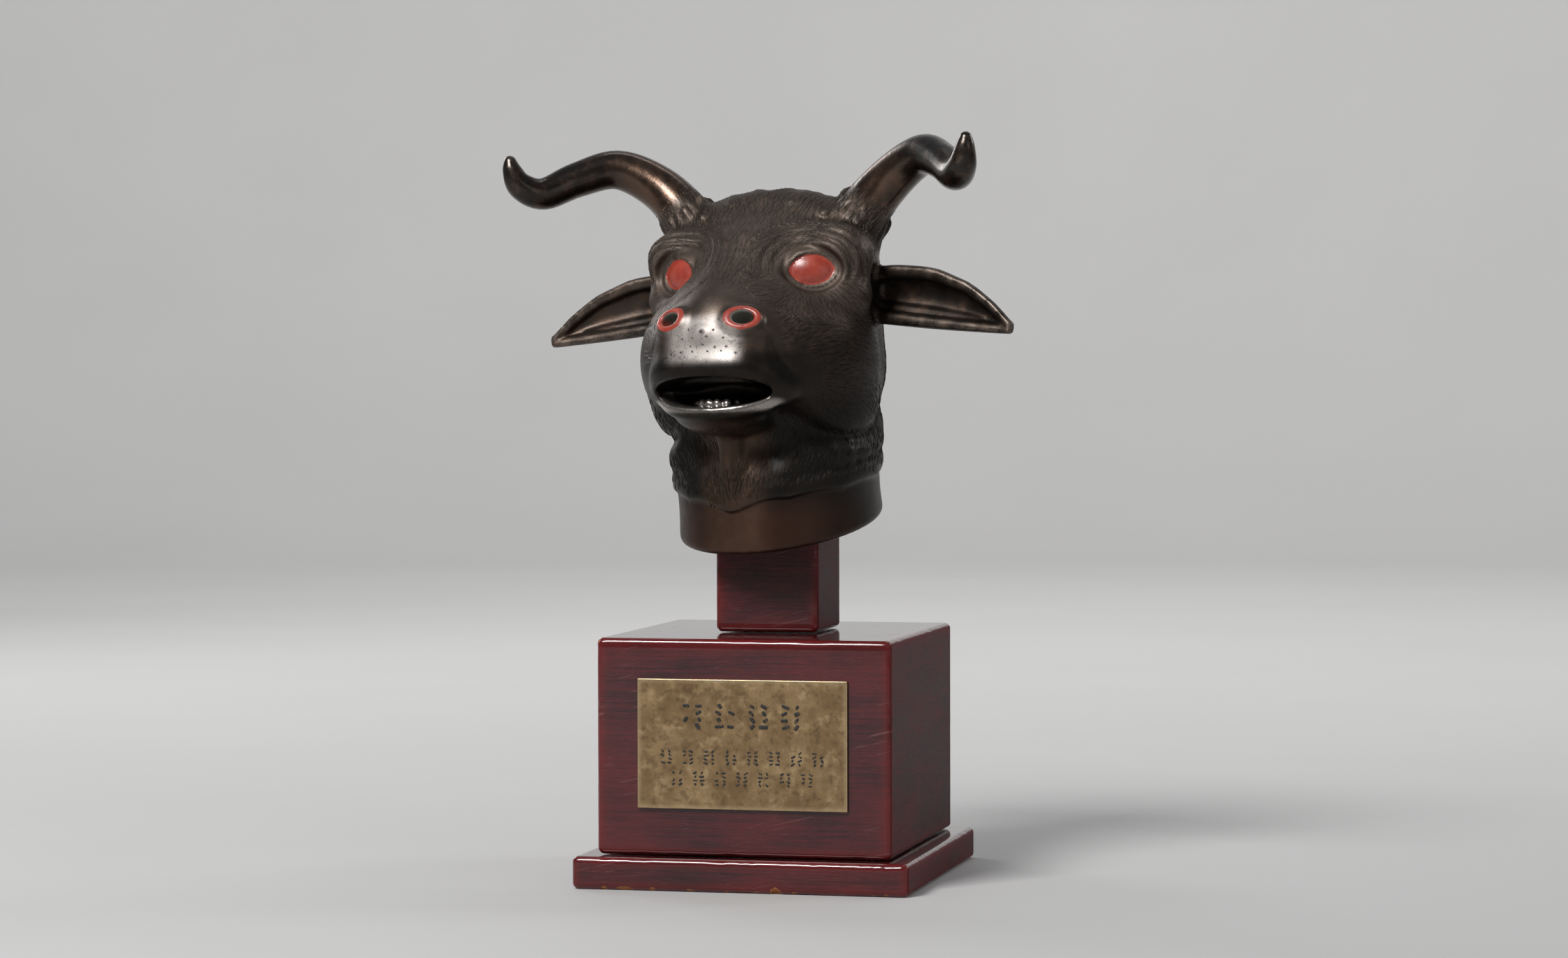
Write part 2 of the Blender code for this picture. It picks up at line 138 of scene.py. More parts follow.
# Places on the head, in its own frame: the left half is the right half's mirror
EYE = (28.8, -28.0, 98.0)
EYE_OUT = (0.47, -0.87, 0.12)
EYE_HALF = (9.3, 6.3)
NOSTRIL = (14.8, -60.6, 78.8)
NOSTRIL_OUT = (0.30, -0.78, 0.55)
NOSTRIL_HALF = (5.6, 4.1)
MOUTH = (0.0, -61.0, 51.8)
MOUTH_HALF = (25.0, 22.0, 6.0)
LOWER_LIP = ((-2, -61.8, 44.6, 2.8), (11, -60, 44.8, 2.8), (20, -54.5, 46.8, 2.6), (26.5, -47.5, 51, 2.2))
FUR_SLOPE = 10.0
FUR_EDGE = 17.0
FUR_PROUD = 1.7
NECK_LOCKS = 26
NAPE_HEIGHT = 100.0
HORN_ROOT = np.array((36.0, 1.0, 117.4))
EAR_ROOT = np.array((35.0, 6.0, 88.5))
EAR_TIP = np.array((100.5, -0.5, 82.5))
EAR_HALF = 10.4
EAR_LIFT = 1.8
JAW_LINE = ((22, -46, 42.5), (29, -35, 36), (36.4, -20, 33), (40.6, -5, 34.5), (40.5, 5, 38.5), (36, 20, 47))


# The head's field

def unit(vector):
    vector = np.asarray(vector, float)
    return vector / np.linalg.norm(vector)


def merged(first, second, soft):
    """The union of two fields, with a fillet about as wide as soft."""
    share = np.clip(0.5 + 0.5 * (second - first) / soft, 0.0, 1.0)
    return second + (first - second) * share - soft * share * (1.0 - share)


def carved(body, tool, soft):
    """The body with the tool cut away, and the edge rounded about as wide as soft."""
    return -merged(-body, tool, soft)


def lump(p, middle, radii, turn=None):
    """An ellipsoid. The columns of turn are its own axes."""
    q = p - np.asarray(middle, float)
    if turn is not None:
        q = q @ turn
    radii = np.asarray(radii, float)
    scaled = np.sqrt(((q / radii) ** 2).sum(1)) + 1e-6
    slope = np.sqrt(((q / radii**2) ** 2).sum(1)) + 1e-6
    return scaled * (scaled - 1.0) / slope


def curve_through(points, pieces):
    """Points along a smooth curve through the given points, also for columns that hold radii."""
    points = np.asarray(points, float)
    ends = np.vstack([2 * points[0] - points[1], points, 2 * points[-1] - points[-2]])
    stretch = np.linspace(0, len(points) - 1, pieces + 1)
    first = np.minimum(stretch.astype(int), len(points) - 2)
    t = (stretch - first)[:, None]
    a, b, c, d = (ends[first + i] for i in range(4))
    return 0.5 * (2 * b + (c - a) * t + (2 * a - 5 * b + 4 * c - d) * t**2 + (3 * b - a - 3 * c + d) * t**3)


def roll(p, stations, pieces=12):
    """A round bar of changing thickness. Each station is x, y, z and radius.

    Away from the bar the distance to the box round it stands in, which is faster.
    """
    line = curve_through(stations, pieces)
    reach = line[:, 3].max()
    low, high = line[:, :3].min(0) - reach, line[:, :3].max(0) + reach
    distance = np.linalg.norm(np.maximum(np.maximum(low - p, p - high), 0), axis=1)
    close = distance < FAR
    near_points = p[close]
    nearest = np.full(len(near_points), 1e3)
    for start, end in zip(line[:-1], line[1:]):
        along = end[:3] - start[:3]
        share = np.clip((near_points - start[:3]) @ along / (along @ along), 0.0, 1.0)
        gap = np.linalg.norm(near_points - start[:3] - share[:, None] * along, axis=1)
        nearest = np.minimum(nearest, gap - start[3] - share * (end[3] - start[3]))
    distance[close] = nearest
    return distance


def creased(p, body, path, width, depth):
    """The body with a soft crease along a path on its surface."""
    stations = [(*point, 0.0) for point in path]
    return body + depth * np.exp(-((roll(p, stations, 10) / width) ** 2))


def eased(x, stations, values):
    """The value at x on a smooth curve through the stations' values."""
    fine = np.linspace(stations[0], stations[-1], 241)
    level = np.interp(fine, stations, values)
    window = np.hanning(31)
    padded = np.pad(level, 15, mode="edge")
    return np.interp(x, fine, np.convolve(padded, window / window.sum(), "valid"))


def step_up(x, width):
    """0 below -width/2, 1 above width/2, and a smooth rise between."""
    t = np.clip(x / width + 0.5, 0.0, 1.0)
    return t * t * (3 - 2 * t)


def facing(outward, upright=(0, 0, 1)):
    """The axes of a small frame on the surface: across, up and outward, as columns."""
    out = unit(outward)
    across = unit(np.cross(upright, out))
    return np.column_stack([across, np.cross(out, across), out])


def tilted(p, degrees):
    """Height and depth in a frame that slopes down to the front."""
    slope = math.radians(degrees)
    height = p[:, 2] * math.cos(slope) - p[:, 1] * math.sin(slope)
    depth = p[:, 1] * math.cos(slope) + p[:, 2] * math.sin(slope)
    return height, depth


def rim_height(p):
    """Height above the plane of the neck's lower rim, which slopes down to the front."""
    return tilted(p, RIM_SLOPE)[0] + RIM_DROP


def fur_edge(angle):
    """Height of the fur's scalloped lower edge, and how far into a scallop the angle is."""
    scallop = np.abs(np.sin(5.5 * angle))
    return FUR_EDGE + 0.9 * scallop - 4.0 * np.exp(-((angle / 0.28) ** 2)), scallop


def neck_angle(p):
    """The angle round the neck from its front, as it is in the middle of the neck's height."""
    return np.arctan2(p[:, 0] / 39.0, -tilted(p, FUR_SLOPE)[1] / 43.0)


def neck(p):
    """The neck's fur, which ends in a scalloped edge, and the smooth collar below it."""
    height, depth = tilted(p, FUR_SLOPE)
    stations = (-20, 0, 8, 17, 30, 48, 75, 100)
    half_width = eased(height, stations, (39.8, 39.4, 38.8, 39.0, 40.2, 39.5, 35, 27))
    front = eased(height, stations, (45, 44, 42.5, 41, 38.5, 36, 24, 10))
    back = eased(height, stations, (44, 43.5, 43.2, 44, 47, 50, 50, 44))
    half_depth = np.where(depth < 0, front, back)

    angle = np.arctan2(p[:, 0] / half_width, -depth / half_depth)
    edge, scallop = fur_edge(angle)
    above = height - edge
    wave = 0.14 * np.cos(NECK_LOCKS * angle + 0.9 * np.sin(height / 6.0)) * step_up(above - 5, 8)
    crease = 0.8 * np.exp(-(((above - 7.5) / 2.0) ** 2)) * step_up(np.abs(angle) - 0.5, 0.5)
    fur = step_up(above, 2.4) * (FUR_PROUD - 0.35 * scallop * np.exp(-above / 14) + wave - crease)
    around = np.hypot(p[:, 0] / half_width, depth / half_depth) - 1.0
    side = around * np.minimum(half_width, half_depth) - fur
    return carved(side, NAPE_HEIGHT - height, 14.0)


def head_mass(p):
    """Skull, face and jaw as one body, wide at the brow and blunt at the muzzle."""
    forward = -p[:, 1]
    stations = (-30, -15, -4, 8, 20, 30, 40, 50, 60)
    half_width = eased(forward, stations, (38, 39.5, 40.5, 40.5, 38, 33, 29.5, 27.5, 27))
    top = eased(forward, stations, (121, 126, 129, 127, 119, 108, 98, 91, 86.5))
    bottom = eased(forward, stations, (48, 42, 38, 36, 35, 35, 36, 38, 41))
    half_height = (top - bottom) / 2
    across = np.abs(p[:, 0]) / half_width
    upward = np.abs(p[:, 2] - bottom - half_height) / half_height
    power = 2.5
    ahead = np.clip(forward - 50.0, 0, None) / 17.0
    behind = np.clip(-6.0 - forward, 0, None) / 35.0
    whole = (across**power + upward**power + ahead**2.2 + behind**2.0) ** (1 / power)
    return (whole - 1) * np.minimum(half_width, half_height) * 0.9


def brow(p, body):
    """The bony rim round each eye and the bridge of the nose."""
    rim = lump(p, (33.5, -14, 104), (14, 14, 12))
    below = lump(p, (34, -15.5, 88), (13, 13, 10))
    bridge = roll(p, ((0, -22, 101, 15), (0, -38, 87, 12.5), (0, -50, 80, 11)), 6)
    return merged(merged(body, merged(rim, below, 8.0), 6.0), bridge, 7.0)


def eye(p, body):
    """A shallow socket with folds round it, the lids and the ball."""
    q = (p - np.asarray(EYE)) @ facing(EYE_OUT)
    away = np.hypot(q[:, 0] / 1.22, q[:, 1])
    near = np.exp(-((q[:, 2] / 9.0) ** 2))
    over = step_up(q[:, 1] + 0.25 * q[:, 0], 9.0)
    band = step_up(away - 8.6, 1.5) * step_up(18.5 - away, 5.0)
    folds = (0.04 + 0.5 * over) * band * np.cos(2 * math.pi * (away - 10.4) / 3.8)
    body = body - near * folds
    body = carved(body, lump(q, (0, 0, 2.0), (11.5, 8.5, 4.0)), 3.0)
    ball = lump(q, (0, 0, -6.0), (11.5, 9.2, 7.6))
    almond = (np.abs(q[:, 1]) / EYE_HALF[1]) ** 1.6 + (q[:, 0] / EYE_HALF[0]) ** 2 - 1.0
    lids = carved(ball - 1.5, almond * 4.0, 0.7)
    return merged(merged(body, lids, 1.4), ball, 0.5)


def nostril(p, body):
    """A raised oval ring with a hole that runs inward, and the low boss between the two."""
    q = (p - np.asarray(NOSTRIL)) @ facing(NOSTRIL_OUT)
    oval = np.hypot(q[:, 0] / NOSTRIL_HALF[0], q[:, 1] / NOSTRIL_HALF[1])
    ring = np.hypot((oval - 1) * 4.6, q[:, 2] - 0.4) - 1.7
    hole = lump(q, (0.4, 0, 0), (4.2, 2.8, 8.0))
    boss = lump(p, (0, -64.2, 73.0), (5, 2.6, 4))
    return carved(merged(merged(body, boss, 2.0), ring, 2.6), hole, 0.9)


def mouth(p, body):
    """The open mouth with its lips, the pad behind the upper lip and the row of lower teeth."""
    stations = ((-2, -64.6, 61.4, 3.6), (12, -63.2, 61.2, 3.6), (21, -57.6, 58.6, 3.6), (26, -49, 52.5, 3.4))
    upper = roll(p, stations)
    lower = roll(p, LOWER_LIP)
    chin = lump(p, (0, -49, 43), (18, 12.5, 7.5))
    body = merged(merged(merged(body, chin, 5.0), upper, 6.0), lower, 3.0)
    body = carved(body, lump(p, MOUTH, MOUTH_HALF), 1.3)
    pad = roll(p, ((-2, -55.5, 57.6, 3.0), (11, -53.5, 57.3, 3.0), (18, -46, 55, 2.5)), 8)
    body = merged(body, pad, 1.0)
    for place in range(3):
        across = 1.7 + 3.4 * place
        tooth = lump(p, (across, -57.6 + 0.06 * across**2, 46.9), (2.0, 1.6, 2.3))
        body = merged(body, tooth, 0.3)
    return body


def cheeks(p, body):
    """The full cheek, and its heavy lower edge, which hangs a little over the neck."""
    side = lump(p, (29.7, -23.5, 64), (30, 24, 16), facing((0.97, -0.25, 0)))
    jowl = lump(p, (26.5, -12, 46.5), (18.5, 25, 17.0))
    corner = lump(p, (10, 10, 60), (28.5, 30, 27))
    body = merged(merged(body, side, 6.0), merged(jowl, corner, 10.0), 6.0)
    fold = ((23.5, -54, 69), (25.6, -50, 63), (27.3, -46, 57), (27.0, -43, 50))
    return creased(p, body, fold, 3.4, 1.3)


def jaw_edge(p, body):
    """The crease where the cheek's lower edge overhangs the neck."""
    return creased(p, body, JAW_LINE, 3.6, 2.4)


def horn(p):
    """An S-shaped horn: out and up, forward and down, and up again at the tip."""
    stations = (
        (31, 2, 108, 12.0),
        (38, 0.5, 120.5, 10.2),
        (51, 0, 133.5, 8.9),
        (66.5, -5.5, 141.3, 7.8),
        (79.5, -16, 137.5, 7.0),
        (89, -26.3, 132, 6.3),
        (95, -33.5, 134.8, 5.4),
        (97.4, -36.2, 140.6, 3.9),
        (98.1, -36.8, 144.6, 2.5),
    )
    return roll(p, stations, 56)


def ear(p):
    """A leaf-shaped ear, hollow to the front, with thick rolled edges."""
    length = np.linalg.norm(EAR_TIP - EAR_ROOT)
    along = unit(EAR_TIP - EAR_ROOT)
    front = unit(np.cross(along, (0, 0.12, 1)))
    frame = np.column_stack([along, np.cross(front, along), front])
    q = (p - EAR_ROOT) @ frame
    spread = ((-0.2, 0, 0.2, 0.45, 0.7, 0.88, 1.0), (0.9, 0.92, 1.03, 1.03, 0.8, 0.46, 0.12))
    lift = EAR_LIFT * (1 - np.clip(q[:, 0] / length, 0, 1)) ** 2
    half = EAR_HALF * eased(q[:, 0] / length, *spread) - lift / 2
    side = (q[:, 1] - lift - half + EAR_HALF) / half
    bowl = 6.5 * (1 - np.clip(side, -1, 1) ** 2) * half / EAR_HALF
    sheet = np.abs(q[:, 2] + bowl) - 1.5
    blade = np.maximum(sheet, (np.abs(side) - 1.0) * half)
    blade = np.maximum(blade, np.maximum(q[:, 0] - length, -q[:, 0] - 4)) * 0.8
    share = np.linspace(-0.03, 0.99, 11)
    lift = EAR_LIFT * (1 - share) ** 2
    half = EAR_HALF * eased(share, *spread)
    thick = eased(share, (0, 0.5, 1.0), (2.9, 2.4, 1.5))
    top = np.column_stack([share * length, 2 * half - EAR_HALF - 1.0, 0 * share, thick])
    bottom = np.column_stack([share * length, 1.0 - EAR_HALF + lift, 0 * share, thick])
    edges = merged(roll(q, top, 16), roll(q, bottom, 12), 1.0)
    return merged(merged(blade, ear_fold(q, length, half, lift, share), 2.0), edges, 2.0)


def ear_fold(q, length, half, lift, share):
    """The low fold that runs inside the ear along its lower edge."""
    up = -0.5
    deep = -6.5 * (1 - up**2) * half / EAR_HALF + 0.9
    line = np.column_stack([share * length, (1 + up) * half - EAR_HALF + lift, deep, 1.7 - share])
    return roll(q, line[1:-2], 14)


def locks(p, body):
    """Tufts of hair on the crown and round the roots of the horns."""
    crown = roll(p, ((-2, -2, 119, 11), (14, -2, 118.5, 10.5), (29, 0, 115, 10)), 6)
    body = merged(body, crown, 5.0)
    for i in range(5):
        x = 3.2 + 6.2 * i
        turn = facing((0.12 * i, -0.35, 0.9), (0.6, 0.4, 1))
        middle = (x, -5 + 3.5 * (i % 2), 128.3 - 0.008 * x**2)
        body = merged(body, lump(p, middle, (2.8, 8.0, 1.8), turn), 1.6)
    for i in range(16):
        angle = 2 * math.pi * i / 16
        ring = np.array((0.83 * math.cos(angle), math.sin(angle), -0.55 * math.cos(angle)))
        middle = HORN_ROOT + (10.2 + 0.4 * (i % 2)) * ring
        middle += (3.0 * (i % 2) + 1.2 * math.sin(5.1 * i)) * np.array((0.55, 0, 0.83))
        radii = (1.7, 5.2 + 1.2 * math.cos(3.7 * i), 1.4)
        turn = facing(ring, (0.55, 0.25 * math.sin(2.3 * i), 0.83))
        body = merged(body, lump(p, middle, radii, turn), 1.2)
    return body


def dewlap(p, body):
    """The fold of skin from the chin down the front of the neck."""
    hollow = lump(p, (19, -46, 30), (13, 8, 8.5))
    fold = roll(p, ((0, -46, 39, 6), (0, -44, 31, 4.5), (0, -43, 22, 4.2), (0, -42, 13, 3.2)), 8)
    return merged(carved(body, hollow, 7.0), fold, 3.0)


def head_matrix():
    """From the head's frame to the stand's, both in metres."""
    turn = Matrix.Rotation(math.radians(HEAD_TURN), 4, "Z")
    lean = Matrix.Rotation(math.radians(HEAD_LEAN), 4, "Y")
    return Matrix.Translation(Vector(NECK_RIM) * MM) @ turn @ lean


def socket(points):
    """The square socket for the post, upright in the stand's frame."""
    place = np.array(head_matrix())
    p = points @ place[:3, :3].T + np.array(NECK_RIM)
    side = np.maximum(np.abs(p[:, 0]), np.abs(p[:, 1])) - POST_SIDE / 2 - JOINT_GAP
    return np.maximum(side, p[:, 2] - SOCKET_CEILING_Z)


def mirrored(points):
    return np.column_stack([np.abs(points[:, 0]), points[:, 1], points[:, 2]])


def head_field(points):
    """The head's distance field in millimetres, in the head's own frame."""
    p = mirrored(points)
    body = brow(p, head_mass(p))
    body = cheeks(p, body)
    body = eye(p, body)
    body = nostril(p, body)
    body = mouth(p, body)
    body = merged(body, dewlap(p, neck(p)), 2.5)
    body = jaw_edge(p, body)
    body = merged(body, ear(p), 3.5)
    body = merged(body, horn(p), 5.0)
    body = locks(p, body)
    body = carved(body, rim_height(p), RIM_ROUND)
    return carved(body, socket(points), 0.5)


# From field to mesh

CORNERS = np.array([(i & 1, i >> 1 & 1, i >> 2 & 1) for i in range(8)])
EDGES = [(a, b) for a in range(8) for b in range(a + 1, 8) if abs(CORNERS[a] - CORNERS[b]).sum() == 1]
COARSE = 4
BATCHES = 16


def sampled(field, low, shape, step):
    """The field on a grid. Away from the surface it is worked out at every fourth point only."""
    coarse_shape = [n // COARSE + 2 for n in shape]
    coarse = np.stack(np.meshgrid(*map(np.arange, coarse_shape), indexing="ij"), -1)
    values = field(low + coarse.reshape(-1, 3) * (COARSE * step)).reshape(coarse_shape)
    near = np.abs(values) < 1.5 * COARSE * step
    for axis in range(3):
        near = np.roll(np.repeat(near, COARSE, axis), -(COARSE // 2), axis)
        values = np.roll(np.repeat(values, COARSE, axis), -(COARSE // 2), axis)
    inner = tuple(slice(0, n) for n in shape)
    near = near[inner]
    values = values[inner].copy()
    batches = np.array_split(np.argwhere(near), BATCHES)
    values[near] = np.concatenate([field(low + batch * step) for batch in batches])
    return values


def without_pinches(values, skin):
    """The grid filled in where two opposite corners of a square would pinch the surface to an edge."""
    square = ((0, 0), (1, 0), (0, 1), (1, 1))
    for _ in range(4):
        inside = values < 0
        pinched = np.zeros_like(inside)
        for plane in ((0, 1), (1, 2), (0, 2)):
            a, b, c, d = (np.roll(inside, (-i, -j), plane) for i, j in square)
            clash = (a == d) & (b == c) & (a != b)
            for corner in square:
                pinched |= np.roll(clash, corner, plane)
        values = np.where(pinched & ~inside, -skin, values)
    return values


def surface_of(field, low, high, step):
    """Points and four-sided faces on the surface where the field is zero."""
    low = np.asarray(low, float)
    shape = np.ceil((np.asarray(high) - low) / step).astype(int) + 1
    values = without_pinches(sampled(field, low, shape, step), 0.1 * step)
    inside = values < 0
    cells = [inside[tuple(slice(c, c + n - 1) for c, n in zip(corner, shape))] for corner in CORNERS]
    filled = np.sum(cells, axis=0)
    mixed = np.argwhere((filled > 0) & (filled < 8))
    number = np.full(shape - 1, -1)
    number[tuple(mixed.T)] = np.arange(len(mixed))
    at_corner = np.stack([values[tuple((mixed + corner).T)] for corner in CORNERS], 1)
    total = np.zeros((len(mixed), 3))
    count = np.zeros((len(mixed), 1))
    for a, b in EDGES:
        start, end = at_corner[:, a : a + 1], at_corner[:, b : b + 1]
        crossed = (start < 0) != (end < 0)
        share = start / np.where(crossed, start - end, 1.0)
        total += crossed * (CORNERS[a] + share * (CORNERS[b] - CORNERS[a]))
        count += crossed
    points = low + (mixed + total / count) * step
    faces = []
    for axis in range(3):
        u, v = np.eye(3, dtype=int)[[(axis + 1) % 3, (axis + 2) % 3]]
        ahead = np.roll(inside, -1, axis)
        for crossing, order in ((inside & ~ahead, 1), (~inside & ahead, -1)):
            at = np.argwhere(crossing)
            ring = [number[tuple((at - shift).T)] for shift in (0 * u, u, u + v, v)]
            faces.append(np.stack(ring[::order], 1))
    return points, np.concatenate(faces)


def slope_of(field, points, reach=0.05):
    """The direction in which the field grows."""
    steps = np.eye(3) * reach
    slope = np.stack([field(points + s) - field(points - s) for s in steps], 1)
    return slope / (2 * reach)


def settled(field, points, rounds=2):
    """The points moved onto the surface."""
    for _ in range(rounds):
        slope = slope_of(field, points)
        square = np.maximum((slope**2).sum(1), 0.2)
        move = -(field(points) / square)[:, None] * slope
        points = points + np.clip(move, -0.6, 0.6)
    return points


# What lies where on the skin

def ripple(p, wavelength, seed):
    """A smooth random wave between about -1 and 1 over points in millimetres."""
    draw = np.random.default_rng(seed)
    total = np.zeros(len(p))
    for _ in range(7):
        direction = draw.normal(size=3) * (2 * math.pi / wavelength / 1.7)
        total += np.sin(p @ direction + draw.uniform(0, 2 * math.pi))
    return total / 3.5


def skin_masks(p):
    """Which part of the head each point is on, from 0 to 1, for mirrored points in the head's frame."""
    forward = -p[:, 1]
    q = (p - np.asarray(EYE)) @ facing(EYE_OUT)
    eye_away = np.hypot(q[:, 0] / 1.3, q[:, 1])
    r = (p - np.asarray(NOSTRIL)) @ facing(NOSTRIL_OUT)
    nose_away = np.hypot(r[:, 0] / NOSTRIL_HALF[0], r[:, 1] / NOSTRIL_HALF[1])
    edge, _ = fur_edge(neck_angle(p))
    on_teeth = step_up(12 - p[:, 0], 1) * step_up(forward - 55.6, 0.6) * step_up(59.4 - forward, 0.6)
    on_teeth = on_teeth * step_up(p[:, 2] - 46.6, 1) * step_up(50.5 - p[:, 2], 1)
    masks = {
        "horn": step_up(1.6 - horn(p), 2.0) * step_up(np.linalg.norm(p - HORN_ROOT, axis=1) - 14.5, 3),
        "ear": step_up(1.5 - ear(p), 2.0),
        "collar": step_up(edge - tilted(p, FUR_SLOPE)[0], 1.6),
        "eye": step_up(10.2 - eye_away, 1.6) * (np.abs(q[:, 2]) < 12),
        "nose": step_up(1.9 - nose_away, 0.5) * (np.abs(r[:, 2]) < 9),
        "snout": step_up(forward - 52, 9) * step_up(p[:, 2] - 60, 8),
        "mouth": step_up(forward - 41, 8) * step_up(64 - p[:, 2], 4) * step_up(p[:, 2] - 38.5, 4),
        "lip": step_up(1.0 - roll(p, LOWER_LIP), 1.2) * step_up(p[:, 2] - 44.5, 2) + on_teeth,
    }
    between = step_up(15 - p[:, 0], 7) * step_up(p[:, 2] - 63, 5) * step_up(80 - p[:, 2], 5)
    masks["muzzle"] = between * step_up(forward - 56, 5)
    masks["dewlap"] = step_up(13 - p[:, 0], 10) * step_up(40 - p[:, 2], 6) * step_up(forward - 30, 8)
    return masks


def hair_covers(p, masks):
    """Where each kind of hair grows, from 0 to 1."""
    bare = np.ones(len(p))
    for name in ("horn", "ear", "collar", "eye", "nose", "snout", "mouth"):
        bare *= 1 - masks[name]
    edge, _ = fur_edge(neck_angle(p))
    bare *= step_up(tilted(p, FUR_SLOPE)[0] - edge - 5.5, 3)
    bare *= 1 - 0.95 * masks["dewlap"] * step_up(p[:, 2] - 23, 8)
    jaw = np.interp(p[:, 1], [c[1] for c in JAW_LINE] + [40], [c[2] for c in JAW_LINE] + [54])
    neck_part = step_up(jaw - p[:, 2], 3.0)
    nape_part = step_up(p[:, 1] - 17, 10) * (1 - neck_part)
    brow_part = step_up(p[:, 2] - 93 - 0.12 * p[:, 0], 14) * (1 - nape_part) * (1 - neck_part)
    cheek_part = (1 - neck_part) * (1 - nape_part) * (1 - brow_part)
    parts = {"brow": brow_part, "cheek": cheek_part, "neck": neck_part, "nape": nape_part}
    return {name: part * bare for name, part in parts.items()}


def hair_flow(p, normal, covers):
    """The way the hair lies at mirrored points: up the face, back over the cheek and down the neck."""
    x, y, z = p.T
    up_face = np.column_stack([0.018 * x, 0.5 + 0 * x, 1.0 + 0 * x])
    sway = 0.30 * np.sin(y / 8.5 + z / 10.0)
    back = np.column_stack([0.1 + 0 * x, 1.0 + 0 * x, -0.10 + sway - 0.9 * step_up(50 - z, 22)])
    down = np.column_stack([-0.15 * step_up(-y, 30), -0.42 * step_up(12 - y, 40), -1.0 + 0 * x])
    nape = np.column_stack([0.12 * np.sin(z / 9), 0.25 * step_up(z - 108, 20), -1.0 + 0 * x])
    flow = 0.0
    for name, way in (("brow", up_face), ("cheek", back), ("neck", down), ("nape", nape)):
        flow = flow + (covers[name] + 0.001)[:, None] * way
    q = (p - np.asarray(EYE)) @ facing(EYE_OUT)
    away = np.hypot(q[:, 0] / 1.25, q[:, 1])
    round_eye = np.column_stack([-q[:, 1], q[:, 0], 0 * away]) / (away + 1e-6)[:, None]
    lashes = np.column_stack([q[:, 0], q[:, 1], 0 * away]) / (away + 1e-6)[:, None]
    below = step_up(-q[:, 1] - 2, 6)[:, None]
    ringed = (round_eye * (1 - below) + lashes * below) @ facing(EYE_OUT).T
    near = (step_up(21 - away, 9) * (np.abs(q[:, 2]) < 14))[:, None]
    flow = flow * (1 - near) + ringed * near
    flow -= (flow * normal).sum(1)[:, None] * normal
    return flow / (np.linalg.norm(flow, axis=1)[:, None] + 1e-9)


def edge_sharpness(points, faces, normal, step, rounds=3):
    """How much each point stands out from its neighbours, from about -1 in a groove to 1 on a ridge."""
    ends = np.concatenate([faces[:, [i, (i + 1) % 4]] for i in range(4)])
    total, count = np.zeros_like(points), np.bincount(ends[:, 0], minlength=len(points))
    np.add.at(total, ends[:, 0], points[ends[:, 1]])
    stand = ((points - total / count[:, None]) * normal).sum(1)
    for _ in range(rounds):
        spread = np.bincount(ends[:, 0], weights=stand[ends[:, 1]], minlength=len(points))
        stand = 0.4 * stand + 0.6 * spread / count
    return np.clip(stand / (0.16 * step**2), -1, 1)


def store(mesh, name, values):
    """One number or direction for each point of a mesh."""
    kind, key = ("FLOAT", "value") if np.ndim(values) == 1 else ("FLOAT_VECTOR", "vector")
    attribute = mesh.attributes.new(name, kind, "POINT")
    attribute.data.foreach_set(key, np.ascontiguousarray(values, np.float32).ravel())


# Node trees, for materials and for geometry

class Wire:
    """A node's output that takes part in arithmetic: each operator adds its Math node."""

    def __init__(self, tree, socket):
        self.tree = tree
        self.socket = socket

    def _math(self, operation, first, second=None):
        values = {i: v for i, v in enumerate((first, second)) if v is not None}
        return self.tree.node("ShaderNodeMath", {"operation": operation}, values)

    def __add__(self, other):
        return self._math("ADD", self, other)

    def __sub__(self, other):
        return self._math("SUBTRACT", self, other)

    def __mul__(self, other):
        return self._math("MULTIPLY", self, other)

    def __truediv__(self, other):
        return self._math("DIVIDE", self, other)

    def __pow__(self, other):
        return self._math("POWER", self, other)

    def __rsub__(self, other):
        return self._math("SUBTRACT", other, self)

    def __rtruediv__(self, other):
        return self._math("DIVIDE", other, self)

    def __abs__(self):
        return self._math("ABSOLUTE", self)

    __radd__, __rmul__ = __add__, __mul__

    def sine(self):
        return self._math("SINE", self)

    def root(self):
        return self._math("SQRT", self)

    def below(self, level, soft):
        """1 under the level and 0 over it, with a smooth change about as wide as soft."""
        settings = {"interpolation_type": "SMOOTHSTEP"}
        ends = {"From Min": level - soft / 2, "From Max": level + soft / 2, "To Min": 1.0, "To Max": 0.0}
        return self.tree.node("ShaderNodeMapRange", settings, {"Value": self, **ends})

    def above(self, level, soft):
        return 1.0 - self.below(level, soft)


class Tree:
    """A node tree, and the one way that nodes are added to it."""

    def __init__(self, nodes_of):
        self.nodes = nodes_of.nodes
        self.links = nodes_of.links

    def node(self, kind, settings=None, sockets=None, output=0):
        made = self.nodes.new(kind)
        for name, value in (settings or {}).items():
            setattr(made, name, value)
        for name, value in (sockets or {}).items():
            if isinstance(value, Wire):
                self.links.new(value.socket, made.inputs[name])
            else:
                made.inputs[name].default_value = value
        return Wire(self, made.outputs[output])


